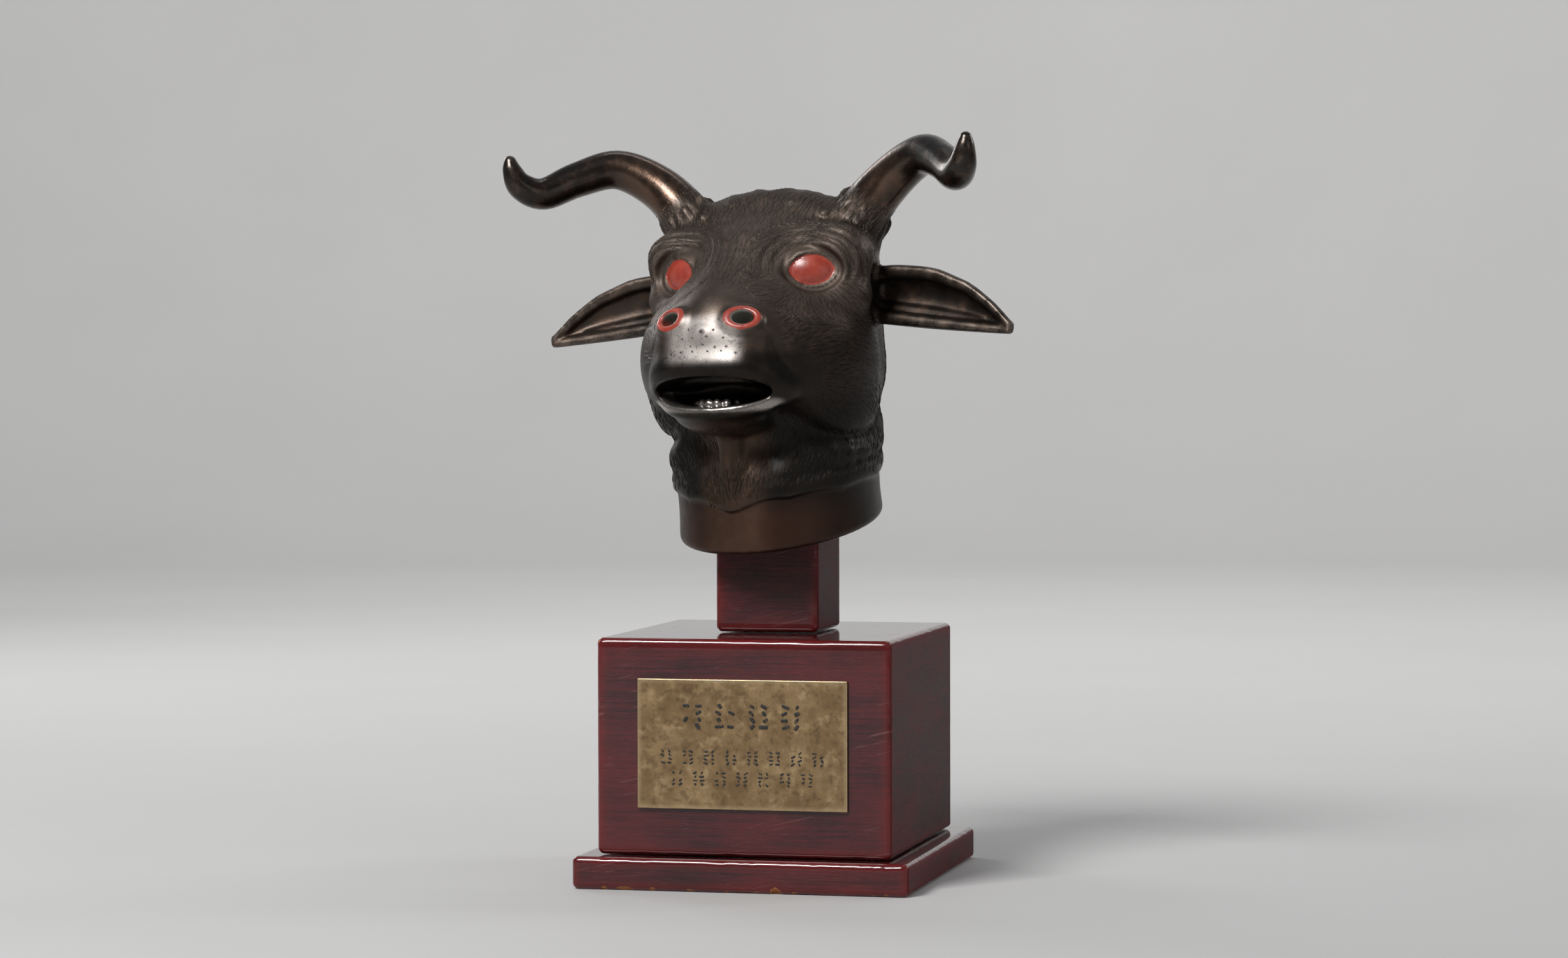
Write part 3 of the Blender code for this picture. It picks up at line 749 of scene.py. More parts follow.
class Finish(Tree):
    """A Principled material's tree, with the coordinates and patterns that the finishes share."""

    def __init__(self, name):
        self.material = bpy.data.materials.new(name)
        self.material.use_nodes = True
        super().__init__(self.material.node_tree)
        self.shader = self.nodes["Principled BSDF"]
        self.place = self.node("ShaderNodeTexCoord", output="Object")
        self.millimetres = self.vector("SCALE", self.place, scale=1 / MM)

    def set(self, **sockets):
        for name, value in sockets.items():
            target = self.shader.inputs[name.replace("_", " ")]
            if isinstance(value, Wire):
                self.links.new(value.socket, target)
            else:
                target.default_value = value

    def vector(self, operation, first, second=None, scale=None):
        sockets = {0: first}
        if second is not None:
            sockets[1] = second
        if scale is not None:
            sockets["Scale"] = scale
        output = "Value" if operation == "DOT_PRODUCT" else "Vector"
        return self.node("ShaderNodeVectorMath", {"operation": operation}, sockets, output)

    def stretched(self, place, sizes, detail=3.0, roughness=0.55):
        """Noise whose features are about so many millimetres long each way."""
        scaled = self.vector("MULTIPLY", place, tuple(1 / s for s in sizes))
        sockets = {"Vector": scaled, "Scale": 1.0, "Detail": detail, "Roughness": roughness}
        return self.node("ShaderNodeTexNoise", None, sockets)

    def number(self, name):
        """A stored number of the mesh."""
        return self.node("ShaderNodeAttribute", {"attribute_name": name}, output="Fac")

    def mixed(self, share, first, second):
        """The first colour where the share is 0, and the second where it is 1."""
        colours = {"Factor": share, "A": self._colour(first), "B": self._colour(second)}
        made = self.nodes.new("ShaderNodeMix")
        made.data_type = "RGBA"
        for socket in made.inputs:
            if socket.enabled and socket.name in colours:
                value = colours[socket.name]
                if isinstance(value, Wire):
                    self.links.new(value.socket, socket)
                else:
                    socket.default_value = value
        return Wire(self, next(socket for socket in made.outputs if socket.enabled))

    @staticmethod
    def _colour(value):
        return value if isinstance(value, Wire) else (*value, 1.0)

    def bump(self, height, depth_mm, under=None):
        """A Bump node whose height of 1 stands for so many millimetres."""
        sockets = {"Height": height, "Distance": depth_mm * MM, "Strength": 1.0}
        if under is not None:
            sockets["Normal"] = under
        return self.node("ShaderNodeBump", None, sockets)


def head_coordinates(finish):
    """Millimetres in the head's frame, mirrored so that X is never below 0."""
    rim = [v * MM for v in NECK_RIM]
    turn = head_matrix().to_euler()
    sockets = {"Vector": finish.place, "Location": rim, "Rotation": turn, "Scale": (MM, MM, MM)}
    place = finish.node("ShaderNodeMapping", {"vector_type": "TEXTURE"}, sockets)
    apart = finish.nodes.new("ShaderNodeSeparateXYZ")
    finish.links.new(place.socket, apart.inputs[0])
    x, y, z = (Wire(finish, socket) for socket in apart.outputs)
    return finish.node("ShaderNodeCombineXYZ", None, {0: abs(x), 1: y, 2: z}), x, y, z


def local_axes(finish, place, middle, outward):
    """The three coordinates of a point in the small frame of an eye or a nostril."""
    offset = finish.vector("SUBTRACT", place, middle)
    axes = facing(outward)
    return [finish.vector("DOT_PRODUCT", offset, tuple(axes[:, i])) for i in range(3)]


def hair_dashes(finish, flow, pitch, long, wide, shift):
    """Short cuts that lie along the flow, one in each cell of a random pattern."""
    place = finish.vector("ADD", finish.millimetres, (shift, 2 * shift, -shift))
    sockets = {"Vector": place, "Scale": 1 / pitch}
    centre = finish.node("ShaderNodeTexVoronoi", {"feature": "F1"}, sockets, "Position")
    offset = finish.vector("SUBTRACT", place, centre)
    normal = finish.node("ShaderNodeNewGeometry", None, None, "Normal")
    along = finish.vector("DOT_PRODUCT", offset, flow)
    across = finish.vector("DOT_PRODUCT", offset, finish.vector("CROSS_PRODUCT", normal, flow))
    return ((along / long) ** 2.0 + (across / wide) ** 2.0).below(0.75, 0.5)


def bronze_finish(colours):
    """Dark brown patina over bronze, rubbed bright where hands reach, with painted eyes and nostrils. Painted
    light too: shade low on the head, a red reflection of the stand low on the collar, shade in the muzzle's
    pits and a highlight on the raised hair.
    """
    finish = Finish("patinated_bronze")
    place, x, y, z = head_coordinates(finish)
    horn_part, edge = finish.number("horn"), finish.number("edge")
    cloud = finish.stretched(finish.millimetres, (28, 28, 28), 4.0)
    mottle = finish.stretched(finish.millimetres, (5, 5, 5), 4.0)
    speck = finish.stretched(finish.millimetres, (0.9, 0.9, 0.9), 2.0)

    # painted shade: high is 1 up on the head and 0 low down, so the patina is painted darker low on the head
    # and neck, and the brown, the warm mottle and the rubbed edges are lighter higher up
    high = 1.0 - z.below(58.0, 44.0) * (1.0 - horn_part)
    brown = cloud.above(0.48, 0.3) * (0.10 + 0.90 * high) * (1.0 - 0.55 * horn_part)
    colour = finish.mixed(brown, colours.patina_dark, colours.patina_brown)
    colour = finish.mixed(mottle.above(0.58, 0.25) * 0.4 * high, colour, colours.patina_warm)
    front = y.below(-6.0, 34.0) * z.above(78.0, 26.0) * (1.0 - horn_part)
    colour = finish.mixed(front * 0.62, colour, colours.patina_face)
    horn_root = horn_part * abs(x).below(60.0, 26.0) * (cloud * 0.6 + mottle * 0.4).above(0.45, 0.3)
    colour = finish.mixed(horn_root * 0.85, colour, colours.patina_warm)
    # painted reflection: the red of the lacquered stand, painted low on the front of the collar
    painted_red_reflection = finish.number("collar") * z.below(8.0, 16.0) * y.below(-18.0, 40.0)
    colour = finish.mixed(painted_red_reflection * (0.20 + 0.35 * cloud), colour, colours.stand_red_reflection)
    throat = finish.number("dewlap") * (mottle * 0.4 + 0.22)
    colour = finish.mixed(throat, colour, colours.patina_warm)
    # rubbed colour along ridges, which is wear; on the raised hair strokes it is also a painted highlight
    worn = edge.above(0.5, 0.6) * (mottle * 0.7 + speck * 0.6).above(0.6, 0.3)
    colour = finish.mixed(worn * (0.16 + 0.34 * high), colour, colours.rubbed)

    muzzle = finish.number("muzzle") * (mottle * 0.5 + speck * 0.5).above(0.36, 0.28)
    overlip = z.below(66.0, 5.0) * z.above(52.0, 6.0) * y.below(-44.0, 8.0)
    colour = finish.mixed(overlip * 0.8, colour, colours.patina_dark)
    colour = finish.mixed(muzzle * 0.75, colour, colours.muzzle_grey)
    lip = finish.number("lip") * (mottle * 0.5 + speck * 0.5).above(0.34, 0.2)
    colour = finish.mixed(lip * 0.8, colour, colours.muzzle_grey)
    # painted shade: the flat disc inside each muzzle pit is coloured dark as the shade of a hole
    pit = finish.number("pit")
    colour = finish.mixed(pit * 0.9, colour, colours.patina_dark)

    across, up, out = local_axes(finish, place, NOSTRIL, NOSTRIL_OUT)
    oval = ((across / NOSTRIL_HALF[0]) ** 2.0 + (up / NOSTRIL_HALF[1]) ** 2.0).root() + (mottle - 0.5) * 0.35
    on_nose = abs(out).below(8.0, 2.0)
    ring = oval.below(1.30, 0.14) * oval.above(0.80, 0.18) * on_nose
    inside = oval.below(0.80, 0.18) * on_nose
    colour = finish.mixed(inside * 0.85, colour, colours.nostril_dark)
    across, up, out = local_axes(finish, place, EYE, EYE_OUT)
    almond = (abs(up) / EYE_HALF[1]) ** 1.6 + (across / EYE_HALF[0]) ** 2.0 + (mottle - 0.5) * 0.10
    on_eye = abs(out).below(8.0, 2.0)
    ball = almond.below(0.92, 0.06) * on_eye
    lids = almond.below(4.0, 3.0) * on_eye * (1.0 - ball)
    lid = almond.above(0.93, 0.05) * almond.below(1.16, 0.16) * on_eye * mottle.above(0.46, 0.2)
    colour = finish.mixed(lid * 0.5, colour, colours.rubbed)
    paint = 1.0 - (1.0 - ring) * (1.0 - ball)
    red = finish.mixed((cloud * 0.3 + mottle * 0.7).above(0.5, 0.4), colours.paint_red, colours.paint_orange)
    colour = finish.mixed(paint, colour, red)

    flow = finish.node("ShaderNodeAttribute", {"attribute_name": "flow"}, output="Vector")
    hair = finish.number("hair")
    fine = hair_dashes(finish, flow, 1.7, 1.6, 0.26, 0.0)
    coarse = hair_dashes(finish, flow, 3.1, 2.8, 0.34, 31.7)
    cuts = (1.0 - (1.0 - fine * 0.7) * (1.0 - coarse)) * hair * (1.0 - paint)
    colour = finish.mixed(cuts * (0.75 - 0.35 * front), colour, colours.patina_dark)

    polish = horn_part * 0.18 + lip * 0.18 + paint * 0.08 + overlip * 0.08 - muzzle * 0.06
    rough = 0.44 + (mottle - 0.5) * 0.22 + (speck - 0.5) * 0.10 - polish + hair * 0.08 + lids * 0.16
    normal = finish.bump(mottle * 0.6 + speck * 0.25, 0.16)
    normal = finish.bump(1.0 - cuts, 0.30, normal)
    finish.set(
        Base_Color=colour,
        Metallic=(1.0 - paint) * (0.92 - 0.7 * inside - 0.35 * muzzle),
        Roughness=rough,
        Coat_Weight=0.05 + paint * 0.25 + 0.20 * horn_part,
        Coat_Roughness=0.22,
        Normal=normal,
    )
    return finish.material


def wood_finish(colours):
    """Dark red-brown lacquer over straight-grained hardwood, redder at the edges, raw where it is chipped."""
    finish = Finish("red_lacquer")
    apart = finish.nodes.new("ShaderNodeSeparateXYZ")
    finish.links.new(finish.millimetres.socket, apart.inputs[0])
    x, y, z = (Wire(finish, socket) for socket in apart.outputs)
    normal = finish.node("ShaderNodeNewGeometry", None, None, "Normal")
    top = abs(finish.vector("DOT_PRODUCT", normal, (0.0, 0.0, 1.0))).above(0.5, 0.3)
    waver = finish.stretched(finish.millimetres, (60, 60, 25), 2.0)
    side_grain = finish.stretched(finish.millimetres, (26, 26, 0.55), 4.0, 0.6)
    top_grain = finish.stretched(finish.millimetres, (26, 0.55, 26), 4.0, 0.6)
    grain = side_grain * (1.0 - top) + top_grain * top
    pore = finish.stretched(finish.millimetres, (5.0, 5.0, 0.28), 2.0) * (1.0 - top)
    pore = pore + finish.stretched(finish.millimetres, (5.0, 0.28, 5.0), 2.0) * top
    cloud = finish.stretched(finish.millimetres, (34, 34, 16), 3.0)

    figure = (grain * 0.65 + waver * 0.35 + (cloud - 0.5) * 0.6).above(0.5, 0.34)
    colour = finish.mixed(figure, colours.lacquer_dark, colours.lacquer_red)
    colour = finish.mixed(pore.above(0.60, 0.10) * 0.5, colour, colours.lacquer_dark)
    colour = finish.mixed(pore.below(0.36, 0.10) * 0.22, colour, colours.lacquer_streak)
    corner = finish.number("corner")
    colour = finish.mixed(corner * (0.35 + cloud * 0.5), colour, colours.lacquer_edge)
    raw = finish.number("raw")
    bitten = (raw + (grain - 0.5) * 0.8).above(0.5, 0.25)
    colour = finish.mixed(bitten, colour, colours.raw_wood)

    slanted = finish.node("ShaderNodeCombineXYZ", None, {0: x * 0.03, 1: y * 0.03, 2: x * 0.23 - z})
    scratch_lines = finish.stretched(slanted, (1, 1, 0.5), 0.0)
    fade = finish.stretched(finish.millimetres, (9, 9, 9), 1.0).above(0.56, 0.12)
    scratches = scratch_lines.above(0.735, 0.03) * fade
    colour = finish.mixed(scratches * 0.5, colour, colours.lacquer_streak)
    flank = abs(finish.vector("DOT_PRODUCT", normal, (1.0, 0.0, 0.0))).above(0.8, 0.2)
    rough = 0.30 + (cloud - 0.5) * 0.14 + (grain - 0.5) * 0.10
    rough = rough + bitten * 0.35 + scratches * 0.15 - top * 0.14 + flank * 0.25
    relief = grain * 0.35 - pore.above(0.60, 0.10) * 0.4 + cloud * 0.5 - scratches * 0.3
    finish.set(
        Base_Color=colour,
        Roughness=rough,
        IOR=1.4,
        Specular_IOR_Level=0.12,
        Coat_Weight=(1.0 - bitten) * (0.82 + 0.18 * top - 0.78 * flank),
        Coat_Roughness=0.07,
        Normal=finish.bump(relief, 0.07),
    )
    return finish.material


def brass_finish(colours):
    """Brass gone dull and mottled, with a bright line along its filed edges."""
    finish = Finish("mottled_brass")
    cloud = finish.stretched(finish.millimetres, (13, 13, 13), 4.0, 0.6)
    mottle = finish.stretched(finish.millimetres, (2.6, 2.6, 2.6), 4.0, 0.6)
    brushed = finish.stretched(finish.millimetres, (0.22, 6.0, 14.0), 2.0)
    blotch = finish.stretched(finish.millimetres, (6, 6, 6), 3.0, 0.65)
    clear = (cloud * 0.5 + blotch * 0.5).above(0.48, 0.24)
    colour = finish.mixed(clear, colours.brass_brown, colours.brass_yellow)
    colour = finish.mixed(mottle.below(0.42, 0.10) * 0.40, colour, colours.brass_spot)
    rubbed = (blotch * 0.6 + mottle * 0.4).above(0.58, 0.10)
    colour = finish.mixed(rubbed * 0.28, colour, colours.brass_bright)
    bright = finish.number("corner")
    colour = finish.mixed(bright * 0.8, colour, colours.brass_bright)
    rough = 0.46 + (mottle - 0.5) * 0.25 + (cloud - 0.5) * 0.2 - bright * 0.18
    finish.set(
        Base_Color=colour,
        Metallic=0.85,
        Roughness=rough,
        Normal=finish.bump(mottle * 0.5 + brushed * 0.25 + cloud * 0.6, 0.05),
    )
    return finish.material


def enamel_finish(colours):
    """The black that fills the plate's struck marks."""
    finish = Finish("black_enamel")
    speck = finish.stretched(finish.millimetres, (0.7, 0.7, 0.7), 3.0)
    colour = finish.mixed(speck.above(0.62, 0.12) * 0.6, colours.enamel, colours.brass_brown)
    finish.set(Base_Color=colour, Roughness=0.5 + (speck - 0.5) * 0.3, Normal=finish.bump(speck, 0.04))
    return finish.material


def floor_finish(colours):
    """A plain pale floor with the faintest tooth."""
    finish = Finish("pale_floor")
    cloud = finish.stretched(finish.millimetres, (240, 240, 240), 2.0)
    colour = finish.mixed(cloud, colours.floor, tuple(0.94 * c for c in colours.floor))
    finish.set(Base_Color=colour, Roughness=0.75 + (cloud - 0.5) * 0.1)
    return finish.material


# Geometry trees

class GeometryTree(Tree):
    """A geometry tree with named inputs for its sizes."""

    def __init__(self, name, inputs):
        self.group = bpy.data.node_groups.new(name, "GeometryNodeTree")
        super().__init__(self.group)
        self.identifiers = {}
        for label, kind in inputs:
            item = self.group.interface.new_socket(label, in_out="INPUT", socket_type=kind)
            self.identifiers[label] = item.identifier
        self.group.interface.new_socket("Geometry", in_out="OUTPUT", socket_type="NodeSocketGeometry")
        self.entry = self.nodes.new("NodeGroupInput")

    def given(self, label):
        return Wire(self, self.entry.outputs[label])

    def attribute(self, name, kind="FLOAT"):
        return self.node("GeometryNodeInputNamedAttribute", {"data_type": kind}, {"Name": name})

    def vector(self, operation, *values, scale=None):
        sockets = dict(enumerate(values))
        if scale is not None:
            sockets["Scale"] = scale
        return self.node("ShaderNodeVectorMath", {"operation": operation}, sockets)

    def close(self, geometry, material):
        """Ends the tree in real faces that carry the material."""
        real = self.node("GeometryNodeRealizeInstances", None, {0: geometry})
        done = self.node("GeometryNodeSetMaterial", None, {"Geometry": real, "Material": material})
        out = self.nodes.new("NodeGroupOutput")
        self.links.new(done.socket, out.inputs[0])
        return self


def hair_tree():
    """Raised locks that are combed along the flow of the skin they grow on."""
    sizes = (
        ("Skin", "NodeSocketGeometry"),
        ("Cover", "NodeSocketString"),
        ("Spacing", "NodeSocketFloat"),
        ("Length", "NodeSocketFloat"),
        ("Width", "NodeSocketFloat"),
        ("Sink", "NodeSocketFloat"),
        ("Shine", "NodeSocketFloat"),
        ("Sections", "NodeSocketInt"),
        ("Seed", "NodeSocketInt"),
        ("Material", "NodeSocketMaterial"),
    )
    tree = GeometryTree("combed_hair", sizes)
    skin, spacing, seed, sections = (tree.given(n) for n in ("Skin", "Spacing", "Seed", "Sections"))
    cover = tree.attribute(tree.given("Cover"))
    spread = {"Mesh": skin, "Distance Min": spacing, "Density Factor": cover, "Seed": seed}
    spread["Density Max"] = HAIR_CROWDING / (spacing * spacing)
    points = tree.node("GeometryNodeDistributePointsOnFaces", {"distribute_method": "POISSON"}, spread)
    order = tree.node("GeometryNodeInputIndex")
    rooted = {"Geometry": points, "Name": "root", "Value": order}
    points = tree.node("GeometryNodeStoreNamedAttribute", {"data_type": "INT", "domain": "POINT"}, rooted)
    copies = tree.nodes.new("GeometryNodeDuplicateElements")
    copies.domain = "POINT"
    tree.links.new(points.socket, copies.inputs["Geometry"])
    tree.links.new((sections + 1).socket, copies.inputs["Amount"])
    doubled, copy_number = (Wire(tree, socket) for socket in copies.outputs)
    ranked = {"Geometry": doubled, "Name": "rank", "Value": copy_number}
    strands = tree.node("GeometryNodeStoreNamedAttribute", {"data_type": "INT", "domain": "POINT"}, ranked)

    root, rank = tree.attribute("root", "INT"), tree.attribute("rank", "INT")
    between = {2: HAIR_SHORTEST, 3: HAIR_LONGEST, "ID": root, "Seed": seed}
    share = tree.node("FunctionNodeRandomValue", {"data_type": "FLOAT"}, between, 1)
    stride = tree.given("Length") * share / sections
    start = tree.nodes.new("GeometryNodeRepeatInput")
    end = tree.nodes.new("GeometryNodeRepeatOutput")
    start.pair_with_output(end)
    tree.links.new(sections.socket, start.inputs["Iterations"])
    tree.links.new(strands.socket, start.inputs["Geometry"])
    place = tree.node("GeometryNodeInputPosition")
    look = {"Mesh": skin, "Value": tree.attribute("flow", "FLOAT_VECTOR"), "Sample Position": place}
    flow = tree.node("GeometryNodeSampleNearestSurface", {"data_type": "FLOAT_VECTOR"}, look)
    ahead = tree.vector("ADD", place, tree.vector("SCALE", tree.vector("NORMALIZE", flow), scale=stride))
    sockets = {0: skin, "Sample Position": ahead}
    near = tree.node("GeometryNodeProximity", {"target_element": "FACES"}, sockets)
    greater = {"data_type": "INT", "operation": "GREATER_THAN"}
    later = tree.node("FunctionNodeCompare", greater, {2: rank, 3: Wire(tree, start.outputs["Iteration"])})
    step = {"Geometry": Wire(tree, start.outputs["Geometry"]), "Selection": later, "Position": near}
    moved = tree.node("GeometryNodeSetPosition", None, step)
    tree.links.new(moved.socket, end.inputs["Geometry"])

    look = {"Mesh": skin, "Value": tree.node("GeometryNodeInputNormal"), "Sample Position": place}
    outward = tree.node("GeometryNodeSampleNearestSurface", {"data_type": "FLOAT_VECTOR"}, look)
    sunk = tree.vector("SCALE", outward, scale=tree.given("Sink") * -1.0)
    sockets = {"Geometry": Wire(tree, end.outputs["Geometry"]), "Offset": sunk}
    laid = tree.node("GeometryNodeSetPosition", None, sockets)
    sockets = {"Points": laid, "Curve Group ID": root, "Weight": rank}
    curves = tree.node("GeometryNodePointsToCurves", None, sockets)
    share = tree.node("GeometryNodeSplineParameter")
    taper = (share * math.pi).sine() ** 0.8
    broad = tree.given("Width") * 0.5 * (taper * 0.9 + 0.1)
    profile = tree.node("GeometryNodeCurvePrimitiveCircle", None, {"Resolution": 3, "Radius": 1.0})
    swept = {"Curve": curves, "Profile Curve": profile, "Scale": broad, "Fill Caps": True}
    mesh = tree.node("GeometryNodeCurveToMesh", None, swept)
    # painted highlight as well as wear: the shine is stored as the strokes' edge, which the bronze lightens
    # with rubbed colour
    worn = {"Geometry": mesh, "Name": "edge", "Value": tree.given("Shine")}
    mesh = tree.node("GeometryNodeStoreNamedAttribute", {"data_type": "FLOAT", "domain": "POINT"}, worn)
    mesh = tree.node("GeometryNodeSetShadeSmooth", None, {"Geometry": mesh})
    return tree.close(mesh, tree.given("Material"))


def marks_tree():
    """Struck marks: one rounded stroke on each point, turned and sized by the point's own numbers."""
    sizes = (
        ("Points", "NodeSocketGeometry"),
        ("Relief", "NodeSocketFloat"),
        ("Material", "NodeSocketMaterial"),
    )
    tree = GeometryTree("struck_marks", sizes)
    ball = tree.node("GeometryNodeMeshUVSphere", None, {"Segments": 16, "Rings": 8, "Radius": 1.0})
    place = tree.node("GeometryNodeInputPosition")
    blunt = tree.vector("POWER", tree.vector("ABSOLUTE", place), (BLUNT, BLUNT, BLUNT))
    squared = tree.vector("SCALE", tree.vector("MULTIPLY", tree.vector("SIGN", place), blunt), scale=0.5)
    ball = tree.node("GeometryNodeSetPosition", None, {"Geometry": ball, "Position": squared})
    size = tree.attribute("size", "FLOAT_VECTOR")
    full_size = tree.vector("ADD", size, tree.node("ShaderNodeCombineXYZ", None, {1: tree.given("Relief")}))
    sockets = {"Points": tree.given("Points"), "Instance": ball}
    sockets |= {"Rotation": tree.attribute("turn", "FLOAT_VECTOR"), "Scale": full_size}
    strokes = tree.node("GeometryNodeInstanceOnPoints", None, sockets)
    smooth = tree.node("GeometryNodeSetShadeSmooth", None, {"Geometry": strokes})
    return tree.close(smooth, tree.given("Material"))


def pits_tree():
    """Small pits in the muzzle, each in a raised rim round a flat disc that is painted dark as a hole's
    shade, one on each point.
    """
    sizes = (
        ("Points", "NodeSocketGeometry"),
        ("Radius", "NodeSocketFloat"),
        ("Rim", "NodeSocketFloat"),
        ("Material", "NodeSocketMaterial"),
    )
    tree = GeometryTree("muzzle_pits", sizes)
    radius = tree.given("Radius")
    path = tree.node("GeometryNodeCurvePrimitiveCircle", None, {"Resolution": 12, "Radius": radius})
    thin = {"Resolution": 5, "Radius": tree.given("Rim")}
    profile = tree.node("GeometryNodeCurvePrimitiveCircle", None, thin)
    rim = tree.node("GeometryNodeCurveToMesh", None, {"Curve": path, "Profile Curve": profile})
    ball = tree.node("GeometryNodeMeshUVSphere", None, {"Segments": 12, "Rings": 6, "Radius": radius})
    flat = tree.node("GeometryNodeTransform", None, {"Geometry": ball, "Scale": (0.9, 0.9, 0.16)})
    # painted shade: the flat disc is marked as a pit, which the bronze colours dark as the shade of a hole
    dark = {"Geometry": flat, "Name": "pit", "Value": 1.0}
    floor = tree.node("GeometryNodeStoreNamedAttribute", {"data_type": "FLOAT", "domain": "POINT"}, dark)
    both = tree.nodes.new("GeometryNodeJoinGeometry")
    for part in (rim, floor):
        tree.links.new(part.socket, both.inputs[0])
    sockets = {"Points": tree.given("Points"), "Instance": Wire(tree, both.outputs[0])}
    turn, size = (tree.attribute(name, "FLOAT_VECTOR") for name in ("turn", "size"))
    sockets |= {"Rotation": turn, "Scale": size}
    pits = tree.node("GeometryNodeInstanceOnPoints", None, sockets)
    smooth = tree.node("GeometryNodeSetShadeSmooth", None, {"Geometry": pits})
    return tree.close(smooth, tree.given("Material"))


def grown(name, source, tree, values):
    """A plain mesh object made by a geometry tree on the source mesh."""
    holder = bpy.data.objects.new("holder", source)
    bpy.context.scene.collection.objects.link(holder)
    modifier = holder.modifiers.new("made", "NODES")
    modifier.node_group = tree.group
    for label, value in values.items():
        modifier[tree.identifiers[label]] = value
    graph = bpy.context.evaluated_depsgraph_get()
    mesh = bpy.data.meshes.new_from_object(holder.evaluated_get(graph))
    bpy.data.objects.remove(holder)
    return linked(name, mesh)


def linked(name, mesh):
    mesh.name = name
    made = bpy.data.objects.new(name, mesh)
    bpy.context.scene.collection.objects.link(made)
    return made


def mesh_of(points, faces=()):
    mesh = bpy.data.meshes.new("made")
    mesh.from_pydata(np.asarray(points).tolist(), [], [list(face) for face in np.asarray(faces).tolist()])
    return mesh


# Boards and plate

def graded(half, ease, pitch):
    """Places along one side of a board: close together over the eased edge, and wider apart between."""
    rim = half - ease + ease * np.array((0.0, 0.25, 0.5, 0.75, 1.0))
    inner = np.linspace(-(half - ease), half - ease, max(3, int(2 * (half - ease) / pitch) + 1))
    return np.concatenate([-rim[::-1], inner[1:-1], rim])


def box_skin(sides):
    """The skin of a box through the given places along X, Y and Z, welded, with its faces outward."""
    points, faces, count = [], [], 0
    for axis in range(3):
        u, v = (axis + 1) % 3, (axis + 2) % 3
        for end in (0, -1):
            grid = np.zeros((len(sides[u]), len(sides[v]), 3))
            grid[:, :, axis] = sides[axis][end]
            grid[:, :, u] = sides[u][:, None]
            grid[:, :, v] = sides[v][None, :]
            index = np.arange(grid[:, :, 0].size).reshape(grid.shape[:2]) + count
            ring = [index[:-1, :-1], index[1:, :-1], index[1:, 1:], index[:-1, 1:]]
            order = ring if end else ring[::-1]
            faces.append(np.stack(order, -1).reshape(-1, 4))
            points.append(grid.reshape(-1, 3))
            count += index.size
    points, faces = np.concatenate(points), np.concatenate(faces)
    unique, index = np.unique(points.round(5), axis=0, return_inverse=True)
    return unique, index.reshape(-1)[faces]


def board_mesh(node, ease, pitch, wear, chips, seed):
    """A board in the node's box, with eased edges that are worn and chipped. Lengths are in millimetres."""
    low, high = (np.array(corner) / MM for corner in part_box(node))
    half, middle = (high - low) / 2, (high + low) / 2
    points, faces = box_skin([graded(h, ease, pitch) for h in half])
    core = np.clip(points, -(half - ease), half - ease)
    offset = points - core
    length = np.linalg.norm(offset, axis=1)
    outward = offset / length[:, None]
    on_edge = np.clip((np.sort(np.abs(offset), axis=1)[:, 1]) / ease, 0, 1)
    shaped = core + ease * outward
    rub = np.clip(ripple(points, 9.0, seed) * 0.6 + ripple(points, 3.1, seed + 1) * 0.5, 0, 1)
    shaped -= (wear * on_edge * rub)[:, None] * outward
    raw = np.zeros(len(points))
    for place, radius, lift in chips:
        centre = np.asarray(place, float) * half + np.sign(place) * np.asarray(lift, float)
        away = shaped - centre
        gap = np.linalg.norm(away, axis=1)
        size = radius * (1 + 0.16 * ripple(points, 2.4, seed + 2))
        hit = gap < size
        shaped[hit] = centre + away[hit] * (size / gap)[hit, None]
        raw = np.maximum(raw, np.clip((size - gap) / 0.5 + 0.3, 0, 1))
    shaped = np.clip(shaped, -half, half)
    corner = on_edge_falloff(points, half, ease)
    mesh = mesh_of((shaped + middle) * MM, faces)
    store(mesh, "corner", corner)
    store(mesh, "raw", raw)
    mesh.shade_smooth()
    return mesh


def on_edge_falloff(points, half, ease):
    """1 at a board's edges and 0 away from them."""
    inset = np.sort(half - np.abs(points), axis=1)[:, 1]
    return np.exp(-((inset / (1.4 * ease)) ** 2))


def slab_chips():
    """Bites along the slab's lower edges, where it is knocked on tables: fewest at the back."""
    draw = np.random.default_rng(11)
    chips = [SLAB_CORNER_CHIP]
    for side, count in enumerate(SLAB_CHIP_COUNTS):
        lift = (1, 0, 1) if side % 2 else (0, 1, 1)
        for _ in range(count):
            along = draw.uniform(-0.97, 0.97)
            place = ((along, -1, -1), (1, along, -1), (along, 1, -1), (-1, along, -1))[side]
            radius = draw.uniform(0.9, 1.7)
            chips.append((place, radius, np.array(lift) * radius * 0.05))
    return chips


